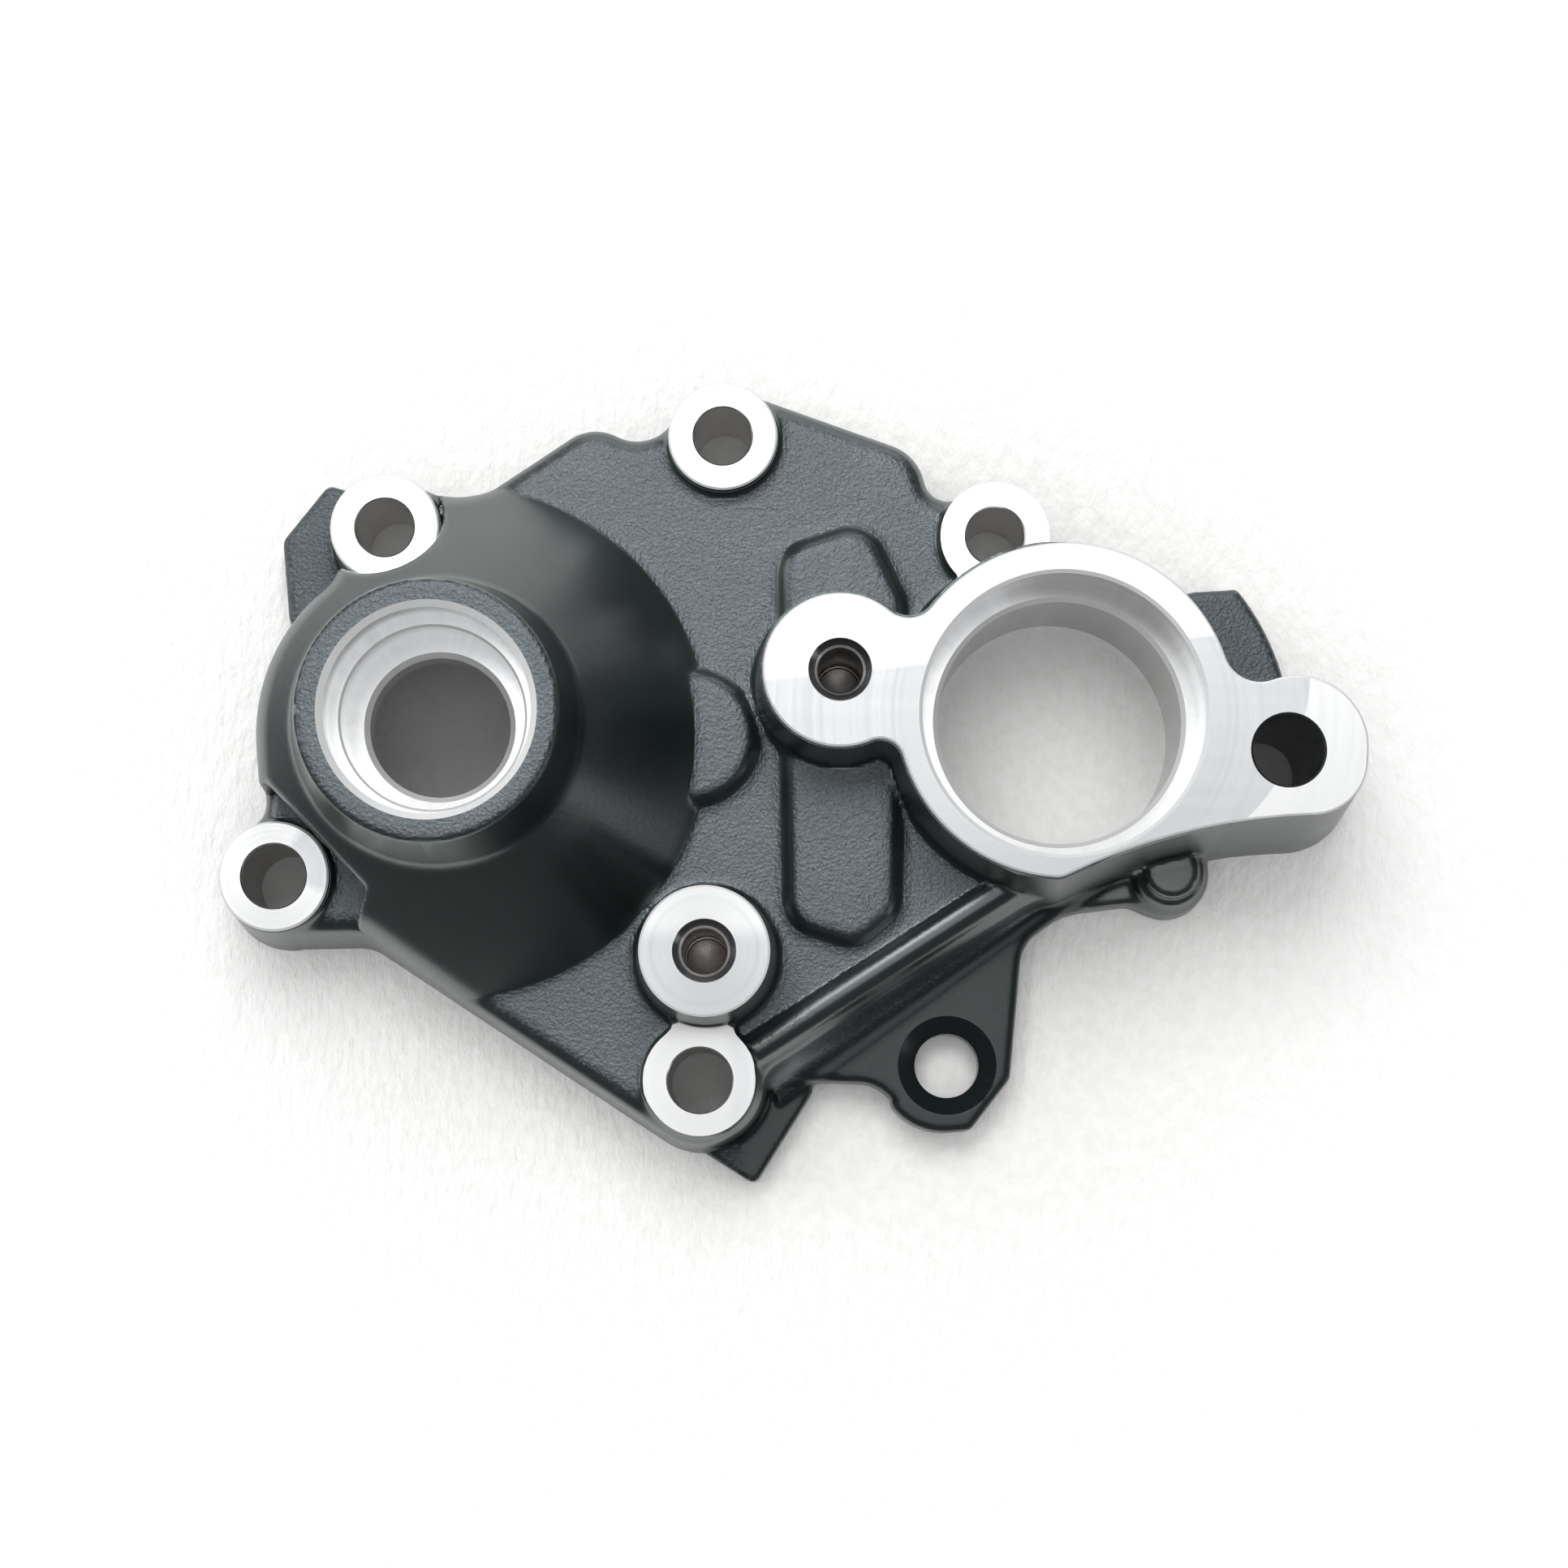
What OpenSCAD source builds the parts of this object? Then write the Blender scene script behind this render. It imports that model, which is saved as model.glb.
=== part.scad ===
// Transmission cover: one die-cast aluminium shell, open at the back, with machined seats.
// The origin is on the axis of the main bore, in the plane of the mating face. +Z leaves the cover.

/* [Centres] */
// Distance of the neck's axis to the left of the main bore's
neck_x = 68.3; // [66.5:0.1:71]
// Distance of the top bolt above the main bore
top_y = 32.9; // [31.5:0.1:35]
// Distance of the bottom bolt below the main bore
bottom_y = 39.7; // [38.5:0.1:41]
// Distance of the right lug's centre to the right of the main bore
lug_x = 25.4; // [24.5:0.1:27]

/* [Case] */
// Height of the flat panel above the mating face
panel_z = 13.5; // [11:0.1:15]
// Wall of the case, measured along the mating face
wall = 4; // [3:0.1:4.6]
// Metal left between the panel and the pocket below it
panel_t = 3.5; // [2.5:0.1:4.5]
// Draft of the outer walls
draft_angle = 4; // [2:0.1:5]
// Rounding of the panel's outer edge
edge_r = 2.2; // [1:0.1:3]
// Thickness of the low tabs on the mating face
tab_t = 5; // [3:0.1:6]

/* [Bolt bosses] */
// Height of the five machined bolt faces
boss_z = 16; // [15:0.1:18]
// Diameter of a machined bolt face
boss_d = 12.3; // [11:0.1:13]
// Diameter of a bolt hole
bolt_hole_d = 6.6; // [5.5:0.1:7]
// Diameter of the two holes that share the bolt with a dowel sleeve
dowel_hole_d = 7.2; // [6.6:0.1:7.8]
// Extra radius cleared round a bolt face for the bolt head
head_clearance = 0.75; // [0.4:0.05:1.1]
// Metal left round a bolt hole behind the panel
column_wall = 3.1; // [2.2:0.1:3.4]

/* [Neck and dome] */
// Height of the neck's rim above the mating face
neck_z = 40; // [38:0.1:44]
// Outer diameter of the neck's rim
neck_d = 28.2; // [26.5:0.1:29]
// Widening of the neck from its rim down to its fillet
neck_flare = 1.3; // [0.8:0.1:1.8]
// Rounding of the neck's rim
neck_edge_r = 0.6; // [0.3:0.1:1]
// Fillet between the neck and the dome
neck_fillet_r = 4; // [2.5:0.1:5]
// Diameter of the seal bore
seal_bore_d = 22; // [21:0.1:23]
// Depth of the seal bore
seal_bore_depth = 7; // [5:0.1:8]
// Diameter of the bearing bore below the seal
bearing_bore_d = 19.8; // [18:0.1:20.4]
// Depth of the bearing bore below the seal's shoulder
bearing_bore_depth = 8; // [6:0.1:9]
// Diameter of the shaft hole
shaft_hole_d = 15.4; // [12:0.1:15.8]
// Metal left under the bearing bore
neck_floor_t = 4.2; // [3:0.1:6]
// Diameter of the dome where it meets the panel
dome_d = 58.6; // [56:0.1:60]
// Diameter of the dome where its straight flank meets the neck's fillet
dome_top_d = 35; // [34:0.1:37]
// Height of the dome's flank at that diameter
dome_top_z = 27.5; // [26:0.1:29]
// Wall of the dome, measured square to its flank
dome_wall = 3.2; // [2.6:0.1:4]

/* [Main flange] */
// Height of the machined flange face
flange_z = 26; // [24:0.1:28]
// Outer diameter of the flange ring
flange_d = 36.9; // [36.4:0.1:39]
// Diameter of the bearing seat in the flange
seat_d = 31; // [29:0.1:32]
// Depth of the bearing seat
seat_depth = 8; // [6:0.1:10]
// Diameter of the main bore below the seat
main_bore_d = 27.2; // [24:0.1:28]
// Radius of the left lug
left_lug_r = 8.5; // [7.5:0.1:9]
// Radius of the right lug
right_lug_r = 7.7; // [7:0.1:8.5]
// Diameter of the clearance hole in the right lug
right_lug_hole_d = 7.8; // [6.6:0.1:9]

/* [Threaded bosses] */
// Diameter of the machined face of the middle boss
mid_boss_d = 14.3; // [13:0.1:15]
// Core diameter of the tapped holes
tap_core_d = 5; // [4.2:0.1:5.4]
// Diameter of the countersink at the mouth of a tapped hole
tap_mouth_d = 7; // [6.2:0.1:7.4]
// Depth of the tapped holes
tap_depth = 15; // [10:0.5:17]

/* [Ear and low boss] */
// Thickness of the ear
ear_t = 6; // [5:0.1:7]
// Diameter of the hole in the ear
ear_hole_d = 7.3; // [6:0.1:8]
// Diameter of the countersink in the ear
ear_sink_d = 11.2; // [9:0.1:12]
// Height of the low boss under the right lug
low_boss_z = 8.5; // [6:0.1:10]
// Diameter of the low boss
low_boss_d = 7.9; // [7:0.1:9]
// Diameter of the pip on the low boss
low_pip_d = 6.2; // [4:0.1:6.6]
// Height of that pip
low_pip_h = 2; // [1:0.1:3]

/* [Pads and bead] */
// Height of the raised pads above the panel
pad_h = 1.8; // [0.8:0.1:2.4]
// Spread of a pad's sloping side at the panel
pad_slope = 1.2; // [0.6:0.1:1.6]
// Radius of the bead along the lower right edge
bead_r = 1.6; // [1.2:0.1:2]

/* [Hidden] */
$fn = 72;

// Largest turn of an outline between two of its points
arc_angle = 10;
// Gap below which two arcs of an outline count as touching
touch_gap = 0.001;
// Overlap of pieces that fuse, and run-out of cuts past a face
lap = 0.6;
over = 1;
// Widening of an outer wall for each millimetre down
draft = tan(draft_angle);
// Chamfers at the mouths of the bearing seat, the seal bore and the shaft hole
seat_chamfer = 0.4;
seal_chamfer = 0.7;
shaft_chamfer = 0.6;

// From the neck's axis to the upper left bolt, the lower left bolt and the half pad
tl_from_neck = [-7.4, 23.9];
ll_from_neck = [-19.3, -15.55];
half_pad_from_neck = [27, 0.25];
// From the bottom bolt to the middle boss, and to the starts of the bead, its crease and the skirt's foot
mid_from_bottom = [0.7, 13.7];
bead_from_bottom = [5.4, 3.1];
crease_from_bottom = [6.6, 1.3];
foot_from_bottom = [12.8, 0.5];
// From the centre of the right lug to its hole
hole_from_lug = [-1, -0.5];

// Centres of the bores and bosses
main_at = [0, 0];
neck_at = [-neck_x, -1.45];
tl_at = neck_at + tl_from_neck;
top_at = [-37.6, top_y];
tr_at = [-6.9, 21.4];
ll_at = neck_at + ll_from_neck;
bottom_at = [-40, -bottom_y];
mid_at = bottom_at + mid_from_bottom;
left_lug_at = [-24.5, 4.8];
right_lug_at = [lug_x, -3.6];
// The ring as cast is not quite centred on the bore
ring_at = [0.1, 0.4];
right_hole_at = right_lug_at + hole_from_lug;
ear_at = [-12.2, -37.7];
low_boss_at = [13.2, -15.9];
plain_bolts = [tl_at, top_at, tr_at];
dowel_bolts = [ll_at, bottom_at];
bolts = concat(plain_bolts, dowel_bolts);

boss_r = boss_d / 2;
// Radius of a boss column where it meets the mating face
foot_r = boss_r + boss_z * draft;
// How far a boss column stands out of the case's wall
boss_stand = 0.12;
corner_r = foot_r - boss_stand;
flange_r = flange_d / 2;
pocket_z = panel_z - panel_t;
// How far the dome's hollow stands in from the pocket's wall at the mating face
dome_step = 1.2;

// An outline is a belt run anticlockwise round circles [x, y, r].
// A negative radius is a hollow corner, with the circle outside the metal.
// Growing every radius by the same length moves the whole outline out and keeps its directions.
function turn(a, b) = let (d = [b[0] - a[0], b[1] - a[1]], q = (a[2] - b[2]) / norm(d))
    atan2(d[1], d[0]) - acos(max(-1, min(1, q)));
function wrapped(a) = a - 360 * floor((a + 180) / 360);
function belt(circles, grow = 0) = let (n = len(circles)) [
    for (i = [0 : n - 1])
        let (before = circles[(i + n - 1) % n], c = circles[i], after = circles[(i + 1) % n])
        let (first = turn(before, c), last = turn(c, after))
        let (sweep = c[2] < 0 ? wrapped(last - first) : (last - first) - 360 * floor((last - first) / 360))
        let (steps = max(1, ceil(abs(sweep) / arc_angle)))
        // Where two arcs touch, the next one brings the shared point
        for (k = [0 : touching(c, after) ? steps - 1 : steps])
            let (a = first + sweep * k / steps)
            [c[0] + (c[2] + grow) * cos(a), c[1] + (c[2] + grow) * sin(a)]
];
function touching(a, b) = norm([b[0] - a[0], b[1] - a[1]]) < abs(a[2] - b[2]) + touch_gap;

// A hollow corner of radius r that touches circles a and b, to the right of the way from a to b
function corner(a, b, r) = let (
    d = [b[0] - a[0], b[1] - a[1]], l = norm(d), ra = a[2] + r, rb = b[2] + r,
    t = (l * l + ra * ra - rb * rb) / (2 * l), h = sqrt(max(0, ra * ra - t * t)), u = d / l
) [a[0] + u[0] * t + u[1] * h, a[1] + u[1] * t - u[0] * h, -r];

// Circle [x, y, r] of an outline, given by its centre and how far it stands from it
function disc(at, r, from = [0, 0]) = [at[0] + from[0], at[1] + from[1], r];

// Case outline at the mating face
wall_by_ring = 2;
ring_mass = disc(main_at, main_bore_d / 2 + wall_by_ring);
ring_foot = disc(ring_at, flange_r + flange_z * draft);
left_arc_r = 22.2;
left_arc = disc(neck_at, left_arc_r);
tl_foot = disc(tl_at, corner_r);
top_foot = disc(top_at, corner_r);
tr_foot = disc(tr_at, corner_r);
ll_foot = disc(ll_at, corner_r);
// The case stands out further round the bottom boss
bottom_extra = 0.6;
bottom_foot = disc(bottom_at, foot_r + bottom_extra);
// Outer bends of the case to the right and left of the top bolt
right_bend_r = 6.4;
right_bend_from_top = [17.4, -5.5];
left_bend_r = 6;
left_bend_from_top = [-14.6, -3.7];
upper_right_bend = disc(top_at, right_bend_r, right_bend_from_top);
upper_left_bend = disc(top_at, left_bend_r, left_bend_from_top);
// Hollow corners of the case beside its bosses
tr_corner_r = 2;
top_corner_r = 4;
tl_corner_r = 3;
ring_corner_r = 1;
case_outline = [
    left_arc,
    disc(ll_at, -2, [-4.4, 8.5]),
    ll_foot,
    disc(ll_at, -5, [7.9, -12]),
    bottom_foot,
    disc(bottom_at, -2.5, [10.3, -0.9]),
    ring_mass,
    corner(ring_foot, tr_foot, ring_corner_r),
    tr_foot,
    corner(tr_foot, upper_right_bend, tr_corner_r),
    upper_right_bend,
    top_foot,
    corner(top_foot, upper_left_bend, top_corner_r),
    upper_left_bend,
    disc(tl_at, -7.2, [7.9, 12.15]),
    tl_foot,
    corner(tl_foot, left_arc, tl_corner_r)
];
// A point that sees the whole case outline
case_hub = [-45, -2];

// Flange outline at its machined face: a ring with a lug each side and a long hollow wall below
flange_ring = disc(ring_at, flange_r);
left_lug = disc(left_lug_at, left_lug_r);
right_lug = disc(right_lug_at, right_lug_r);
// Squarer lower corner of the right lug, moved out as its radius gets smaller
lug_square = 1.6;
right_lug_low = disc(right_lug_at, right_lug_r - lug_square, [lug_square - 0.1, 0.1 - lug_square]);
// Hollow corners between the ring and its lugs, and the long hollow wall below the right one
left_lug_low_r = 2.6;
left_lug_high_r = 3.2;
right_lug_high_r = 4;
long_wall_r = 66;
// Nose that turns the ring into the long wall
nose_r = 2.6;
nose_angle = 266;
nose_out = flange_r - nose_r;
ring_nose = disc(ring_at, nose_r, nose_out * [cos(nose_angle), sin(nose_angle)]);
flange_outline = [
    left_lug,
    corner(left_lug, flange_ring, left_lug_low_r),
    flange_ring,
    ring_nose,
    corner(ring_nose, right_lug_low, long_wall_r),
    right_lug_low,
    right_lug,
    corner(right_lug, flange_ring, right_lug_high_r),
    flange_ring,
    corner(flange_ring, left_lug, left_lug_high_r)
];
// Points that see the part of the flange's outline left and right of the bore's axis
flange_hubs = [[-16, 3], [16, -1.5]];

// Room for the bolt head at the lower left boss, with the far corners of the panel's two webs there
room_outline = [
    disc(ll_at, boss_r + head_clearance),
    disc(ll_at, 0.3, [0, 9.4]),
    disc(ll_at, boss_r, [-boss_d, 0]),
    disc(ll_at, boss_r, [0, -boss_d]),
    disc(ll_at, 0.3, [11, -2])
];

// Low plates on the mating face
ear_outline = [
    disc(bottom_at, 3.2, [7, 3.5]),
    disc(ear_at, -4.9, [-10.2, -6.9]),
    disc(ear_at, 7.4, [-0.4, -0.2]),
    disc(ear_at, 1, [2.1, -6.4]),
    disc(ear_at, 0.8, [6.4, -1.2]),
    disc(ear_at, -5, [13.4, 11.1]),
    disc(main_at, 3.5, [4, -14])
];
left_tab_outline = [
    disc(tl_at, 1.2, [-11.9, 0.15]),
    disc(tl_at, 2, [-10.3, -8.25]),
    disc(tl_at, 3, [1.7, -12.45]),
    disc(tl_at, 5, [-0.3, -0.45]),
    disc(tl_at, 1.2, [-7.5, 5.75])
];
corner_tab_outline = [
    disc(bottom_at, 3.6, [-5, -0.3]),
    disc(bottom_at, 0.9, [5.7, -10.3]),
    disc(bottom_at, 0.9, [11.6, -0.9]),
    disc(bottom_at, 3, [4, 3.7])
];
low_boss_foot = disc(low_boss_at, low_boss_d / 2 + low_boss_z * draft);
low_plate_outline = [
    disc(main_at, 6, [-1, -14.5]),
    disc(low_boss_at, -3, [-4.6, -6.5]),
    low_boss_foot,
    disc(low_boss_at, 4.4, [0.2, 7.9])
];
right_tab_outline = [[20, 2, 3], [26.6, 3.6, 1.4], [26.6, 15.6, 1.9], [17, 14.8, 2.2], [8, 9, 5]];
right_tab_r = 27.7;

// Raised pad under the left lug, at its top
long_pad_outline = [
    [-27.3, 17.4, 3.1],
    [-26.4, -19.4, 3.3],
    [-23.4, -20.6, 3.1],
    [-21.7, -19.2, 3.1],
    [-20.6, 13.6, 2.8],
    [-23.4, 18.6, 3.2]
];
long_pad_hub = [-24, 0];
half_pad_at = neck_at + half_pad_from_neck;
half_pad_r = 6.9;
pad_bevel = 0.4;

// Bead from the bottom boss to the flange, by the centres of its ends
bead_from = bottom_at + bead_from_bottom;
bead_to = [-6.2, -18.2];
// Skirt below the bead: its crease near the panel and its foot on the ear
crease_from = bottom_at + crease_from_bottom;
crease_to = [-1.2, -17.7];
foot_from = bottom_at + foot_from_bottom;
foot_to = [-3, -21.2];
crease_z = 11.5;
skirt_foot_z = ear_t - 0.4;
skirt_hollow = 1.7;
// How far the skirt reaches back into the case's wall, as a share of its own width
skirt_root = 0.6;
skirt_steps = 6;
// Facets of the fillet between the neck and the dome
dome_arc_steps = 8;
// Fillets beside the machined web between the middle and bottom bosses
web_fillet_r = 2.4;
// Room round the upper right bolt where the flange's wall comes closest to it
shank_clearance = 0.3;

// Ring of points of an outline at height z
function ring_at(outline, z, grow) = [for (p = belt(outline, grow)) [p[0], p[1], z]];
// Side faces between rings of n points
function side_faces(n, rings) = [
    for (r = [0 : rings - 2], i = [0 : n - 1])
        let (j = (i + 1) % n)
        [r * n + j, r * n + i, (r + 1) * n + i, (r + 1) * n + j]
];

// Solid through an outline's rings, with caps that fan out from a hub
module hub_loft(outline, levels, hub) {
    n = len(belt(outline));
    rings = len(levels);
    low_hub = n * rings;
    points = concat(
        [for (lv = levels) each ring_at(outline, lv[0], lv[1])],
        [[hub[0], hub[1], levels[0][0]], [hub[0], hub[1], levels[rings - 1][0]]]
    );
    low_cap = [for (i = [0 : n - 1]) [low_hub, i, (i + 1) % n]];
    high_cap = [for (i = [0 : n - 1]) [low_hub + 1, n * (rings - 1) + (i + 1) % n, n * (rings - 1) + i]];
    polyhedron(points, concat(side_faces(n, rings), low_cap, high_cap), convexity = 8);
}

// The same for an outline that needs two hubs, one each side of the plane x = 0
module split_loft(outline, levels, hubs) {
    flat = belt(outline);
    n = len(flat);
    rings = len(levels);
    left = [for (p = flat) p[0] < 0];
    // The outline crosses into the right side at low_seam and leaves it at high_seam
    low_seam = [for (i = [0 : n - 1]) if (!left[i] && left[(i + n - 1) % n]) i][0];
    high_seam = [for (i = [0 : n - 1]) if (!left[i] && left[(i + 1) % n]) i][0];
    hub_points = [for (z = [levels[0][0], levels[rings - 1][0]], h = hubs) [h[0], h[1], z]];
    points = concat([for (lv = levels) each ring_at(outline, lv[0], lv[1])], hub_points);
    function cap(start, hub) = concat(
        [for (i = [0 : n - 1])
            let (j = (i + 1) % n, side = left[i] || left[j] ? 0 : 1)
            [hub + side, start + i, start + j]],
        [[hub, start + low_seam, start + high_seam], [hub + 1, start + high_seam, start + low_seam]]
    );
    low_cap = cap(0, n * rings);
    high_cap = [for (f = cap(n * (rings - 1), n * rings + 2)) [f[2], f[1], f[0]]];
    polyhedron(points, concat(side_faces(n, rings), low_cap, high_cap), convexity = 8);
}

// Panel and outer walls, with a rounded top edge
module case_body() {
    wall_top = panel_z - edge_r;
    lean = draft * wall_top;
    hub_loft(case_outline, [
        [0, 0],
        [wall_top, -lean],
        for (a = [30, 60, 90]) [wall_top + edge_r * sin(a), -lean - edge_r * (1 - cos(a))]
    ], case_hub);
}

// Prism of the case outline tall enough to trim the dome
module case_column() {
    hub_loft(case_outline, [[0, 0], [neck_z, -draft * neck_z]], case_hub);
}

// Flank of the dome, its fillet and the neck, as one profile turned about the neck's axis
module dome_turned() {
    slope = atan2(dome_top_z - panel_z, (dome_d - dome_top_d) / 2);
    low_z = panel_z - 2 * lap;
    low_r = dome_d / 2 + (panel_z - low_z) / tan(slope);
    // The fillet touches the upright neck and the sloping flank
    centre_r = neck_d / 2 + neck_flare + neck_fillet_r;
    touch_r = dome_top_d / 2 + neck_fillet_r * sin(slope);
    centre_z = dome_top_z + neck_fillet_r * cos(slope) - (centre_r - touch_r) * tan(slope);
    rim = [neck_d / 2 - neck_edge_r, neck_z - neck_edge_r];
    fillet_angles = [for (k = [0 : dome_arc_steps]) 270 - slope - (90 - slope) * k / dome_arc_steps];
    translate(neck_at) rotate_extrude() polygon([
        [0, low_z],
        [low_r, low_z],
        for (a = fillet_angles) [centre_r + neck_fillet_r * cos(a), centre_z + neck_fillet_r * sin(a)],
        for (a = [0, 30, 60, 90]) [rim[0] + neck_edge_r * cos(a), rim[1] + neck_edge_r * sin(a)],
        [0, neck_z]
    ]);
}

module flange_body() {
    split_loft(flange_outline, [[0, flange_z * draft], [flange_z, 0]], flange_hubs);
}

module bolt_column(at) {
    translate(at) cylinder(r1 = foot_r, r2 = boss_r, h = boss_z);
}

// Middle threaded boss and the machined web that joins it to the bottom bolt boss
module mid_boss() {
    mid = disc(mid_at, mid_boss_d / 2);
    bottom = disc(bottom_at, boss_r);
    translate(mid_at) cylinder(d1 = mid_boss_d + 2 * flange_z * draft, d2 = mid_boss_d, h = flange_z);
    linear_extrude(boss_z) polygon(belt([
        bottom,
        corner(bottom, mid, web_fillet_r),
        mid,
        corner(mid, bottom, web_fillet_r)
    ]));
}

// The pad's sloping side turns over a narrow bevel into its top
module long_pad() {
    hub_loft(long_pad_outline, [
        [panel_z - lap, pad_slope * (1 + lap / pad_h)],
        [panel_z + pad_h - pad_bevel, pad_slope * pad_bevel / pad_h],
        [panel_z + pad_h, -pad_bevel]
    ], long_pad_hub);
}

module half_pad() {
    translate([half_pad_at[0], half_pad_at[1], panel_z - lap])
        cylinder(r1 = half_pad_r + pad_slope, r2 = half_pad_r, h = pad_h + lap);
}

// Rounded bead on the edge of the panel
module bead() {
    run = bead_to - bead_from;
    translate([bead_from[0], bead_from[1], panel_z])
        rotate([0, 90, atan2(run[1], run[0])])
            cylinder(r = bead_r, h = norm(run));
}

// Hollow slope from the crease under the bead to its foot on the ear
module skirt() {
    n = skirt_steps + 4;
    fall = crease_z - skirt_foot_z;
    function section(top, foot) = let (back = top + (top - foot) * skirt_root) [
        [back[0], back[1], 0],
        [back[0], back[1], crease_z],
        for (k = [0 : skirt_steps])
            let (s = k / skirt_steps, p = top + (foot - top) * s)
            [p[0], p[1], skirt_foot_z + fall * pow(1 - s, skirt_hollow)],
        [foot[0], foot[1], 0]
    ];
    points = concat(section(crease_from, foot_from), section(crease_to, foot_to));
    start_cap = [for (i = [1 : n - 2]) [0, i, i + 1]];
    end_cap = [for (i = [1 : n - 2]) [n, n + i + 1, n + i]];
    polyhedron(points, concat(side_faces(n, 2), start_cap, end_cap), convexity = 6);
}

module low_plates() {
    linear_extrude(ear_t) polygon(belt(ear_outline));
    linear_extrude(tab_t) {
        polygon(belt(left_tab_outline));
        polygon(belt(corner_tab_outline));
        polygon(belt(low_plate_outline));
        intersection() {
            circle(right_tab_r);
            polygon(belt(right_tab_outline));
        }
    }
    translate(low_boss_at) {
        cylinder(r1 = low_boss_foot[2], d2 = low_boss_d, h = low_boss_z);
        cylinder(d = low_pip_d, h = low_boss_z + low_pip_h);
    }
}

// Everything the mould forms on the outside
module cast_outside() {
    case_body();
    difference() {
        intersection() {
            dome_turned();
            case_column();
        }
        head_room();
        corner_room();
    }
    flange_body();
    for (at = bolts) bolt_column(at);
    mid_boss();
    long_pad();
    half_pad();
    bead();
    skirt();
    low_plates();
}

// Room for the bolt head where the dome stands beside the upper left boss, down to the panel
module head_room() {
    translate([tl_at[0], tl_at[1], panel_z - lap])
        cylinder(r = boss_r + head_clearance, h = neck_z);
}

// The same at the lower left boss, where the panel shows on both sides of the boss
module corner_room() {
    translate([0, 0, panel_z - lap]) linear_extrude(neck_z) polygon(belt(room_outline));
}

// Groove in the foot of the flange's wall for the shank of the upper right bolt
module shank_room() {
    translate([tr_at[0], tr_at[1], boss_z])
        cylinder(r = bolt_hole_d / 2 + shank_clearance, h = neck_z);
}

// Pocket at the back: under the panel and up into the dome, round the columns of the bosses
module back_pocket() {
    difference() {
        union() {
            hub_loft(case_outline, [[-over, -wall], [pocket_z, -wall - draft * pocket_z]], case_hub);
            difference() {
                intersection() {
                    linear_extrude(neck_z) polygon(belt(case_outline, -wall - dome_step));
                    dome_inside();
                }
                translate(tl_at) cylinder(r = boss_r + head_clearance + dome_wall, h = neck_z);
                linear_extrude(neck_z) polygon(belt(room_outline, dome_wall));
            }
        }
        translate([0, 0, -2 * over]) {
            for (at = plain_bolts) translate(at) cylinder(r = bolt_hole_d / 2 + column_wall, h = neck_z);
            for (at = dowel_bolts) translate(at) cylinder(r = dowel_hole_d / 2 + column_wall, h = neck_z);
            for (at = [left_lug_at, mid_at]) translate(at) cylinder(r = tap_core_d / 2 + wall, h = neck_z);
            translate(main_at) cylinder(r = main_bore_d / 2 + wall, h = neck_z);
        }
    }
}

// Hollow of the dome: its flank is the outer one moved in by the dome's wall
module dome_inside() {
    slope = atan2(dome_top_z - panel_z, (dome_d - dome_top_d) / 2);
    ceiling = neck_z - seal_bore_depth - bearing_bore_depth - neck_floor_t;
    high_r = dome_top_d / 2 - dome_wall * sin(slope);
    high_z = dome_top_z - dome_wall * cos(slope);
    function flank_r(z) = high_r + (high_z - z) / tan(slope);
    low_z = pocket_z - lap;
    translate(neck_at) rotate_extrude()
        polygon([[0, low_z], [flank_r(low_z), low_z], [flank_r(ceiling), ceiling], [0, ceiling]]);
}

// Cone at 45 degrees that opens a hole of diameter d to a face at height top, and runs on past it
module mouth_cone(top, d, depth) {
    translate([0, 0, top - depth]) cylinder(d1 = d, d2 = d + 4 * depth, h = 2 * depth);
}

// Seal bore, bearing bore and shaft hole through the neck
module neck_bores() {
    seal_floor = neck_z - seal_bore_depth;
    bearing_floor = seal_floor - bearing_bore_depth;
    translate(neck_at) {
        translate([0, 0, seal_floor]) cylinder(d = seal_bore_d, h = seal_bore_depth + over);
        mouth_cone(neck_z, seal_bore_d, seal_chamfer);
        translate([0, 0, bearing_floor]) cylinder(d = bearing_bore_d, h = bearing_bore_depth + over);
        mouth_cone(bearing_floor, shaft_hole_d, shaft_chamfer);
        cylinder(d = shaft_hole_d, h = neck_z);
    }
}

// Bearing seat and through bore of the main flange
module main_bores() {
    translate(main_at) {
        translate([0, 0, -over]) cylinder(d = main_bore_d, h = flange_z);
        translate([0, 0, flange_z - seat_depth]) cylinder(d = seat_d, h = seat_depth + over);
        mouth_cone(flange_z, seat_d, seat_chamfer);
    }
}

// Blind hole with a countersunk mouth, from the flange's height down
module tapped_hole(at) {
    translate(at) {
        translate([0, 0, flange_z - tap_depth]) cylinder(d = tap_core_d, h = tap_depth + over);
        mouth_cone(flange_z, tap_core_d, (tap_mouth_d - tap_core_d) / 2);
    }
}

module through_hole(at, d) {
    translate([at[0], at[1], -over]) cylinder(d = d, h = flange_z + 2 * over);
}

module machined_holes() {
    neck_bores();
    main_bores();
    for (at = plain_bolts) through_hole(at, bolt_hole_d);
    for (at = dowel_bolts) through_hole(at, dowel_hole_d);
    through_hole(right_hole_at, right_lug_hole_d);
    for (at = [mid_at, left_lug_at]) tapped_hole(at);
    through_hole(ear_at, ear_hole_d);
    translate(ear_at) mouth_cone(ear_t, ear_hole_d, (ear_sink_d - ear_hole_d) / 2);
}

module cover() {
    color("#3a3d40") difference() {
        cast_outside();
        shank_room();
        back_pocket();
        machined_holes();
    }
}

cover();
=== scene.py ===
"""Looks of the transmission cover: one cast skin with its fillets and roundings, cut by the machined
faces and bores, on a pale table. Lengths in the shape part are millimetres, in the same frame as the
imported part, and the finished mesh is written in metres."""

import math

import bpy
import numpy as np
from mathutils import Matrix, Vector
from mathutils.geometry import tessellate_polygon


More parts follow.
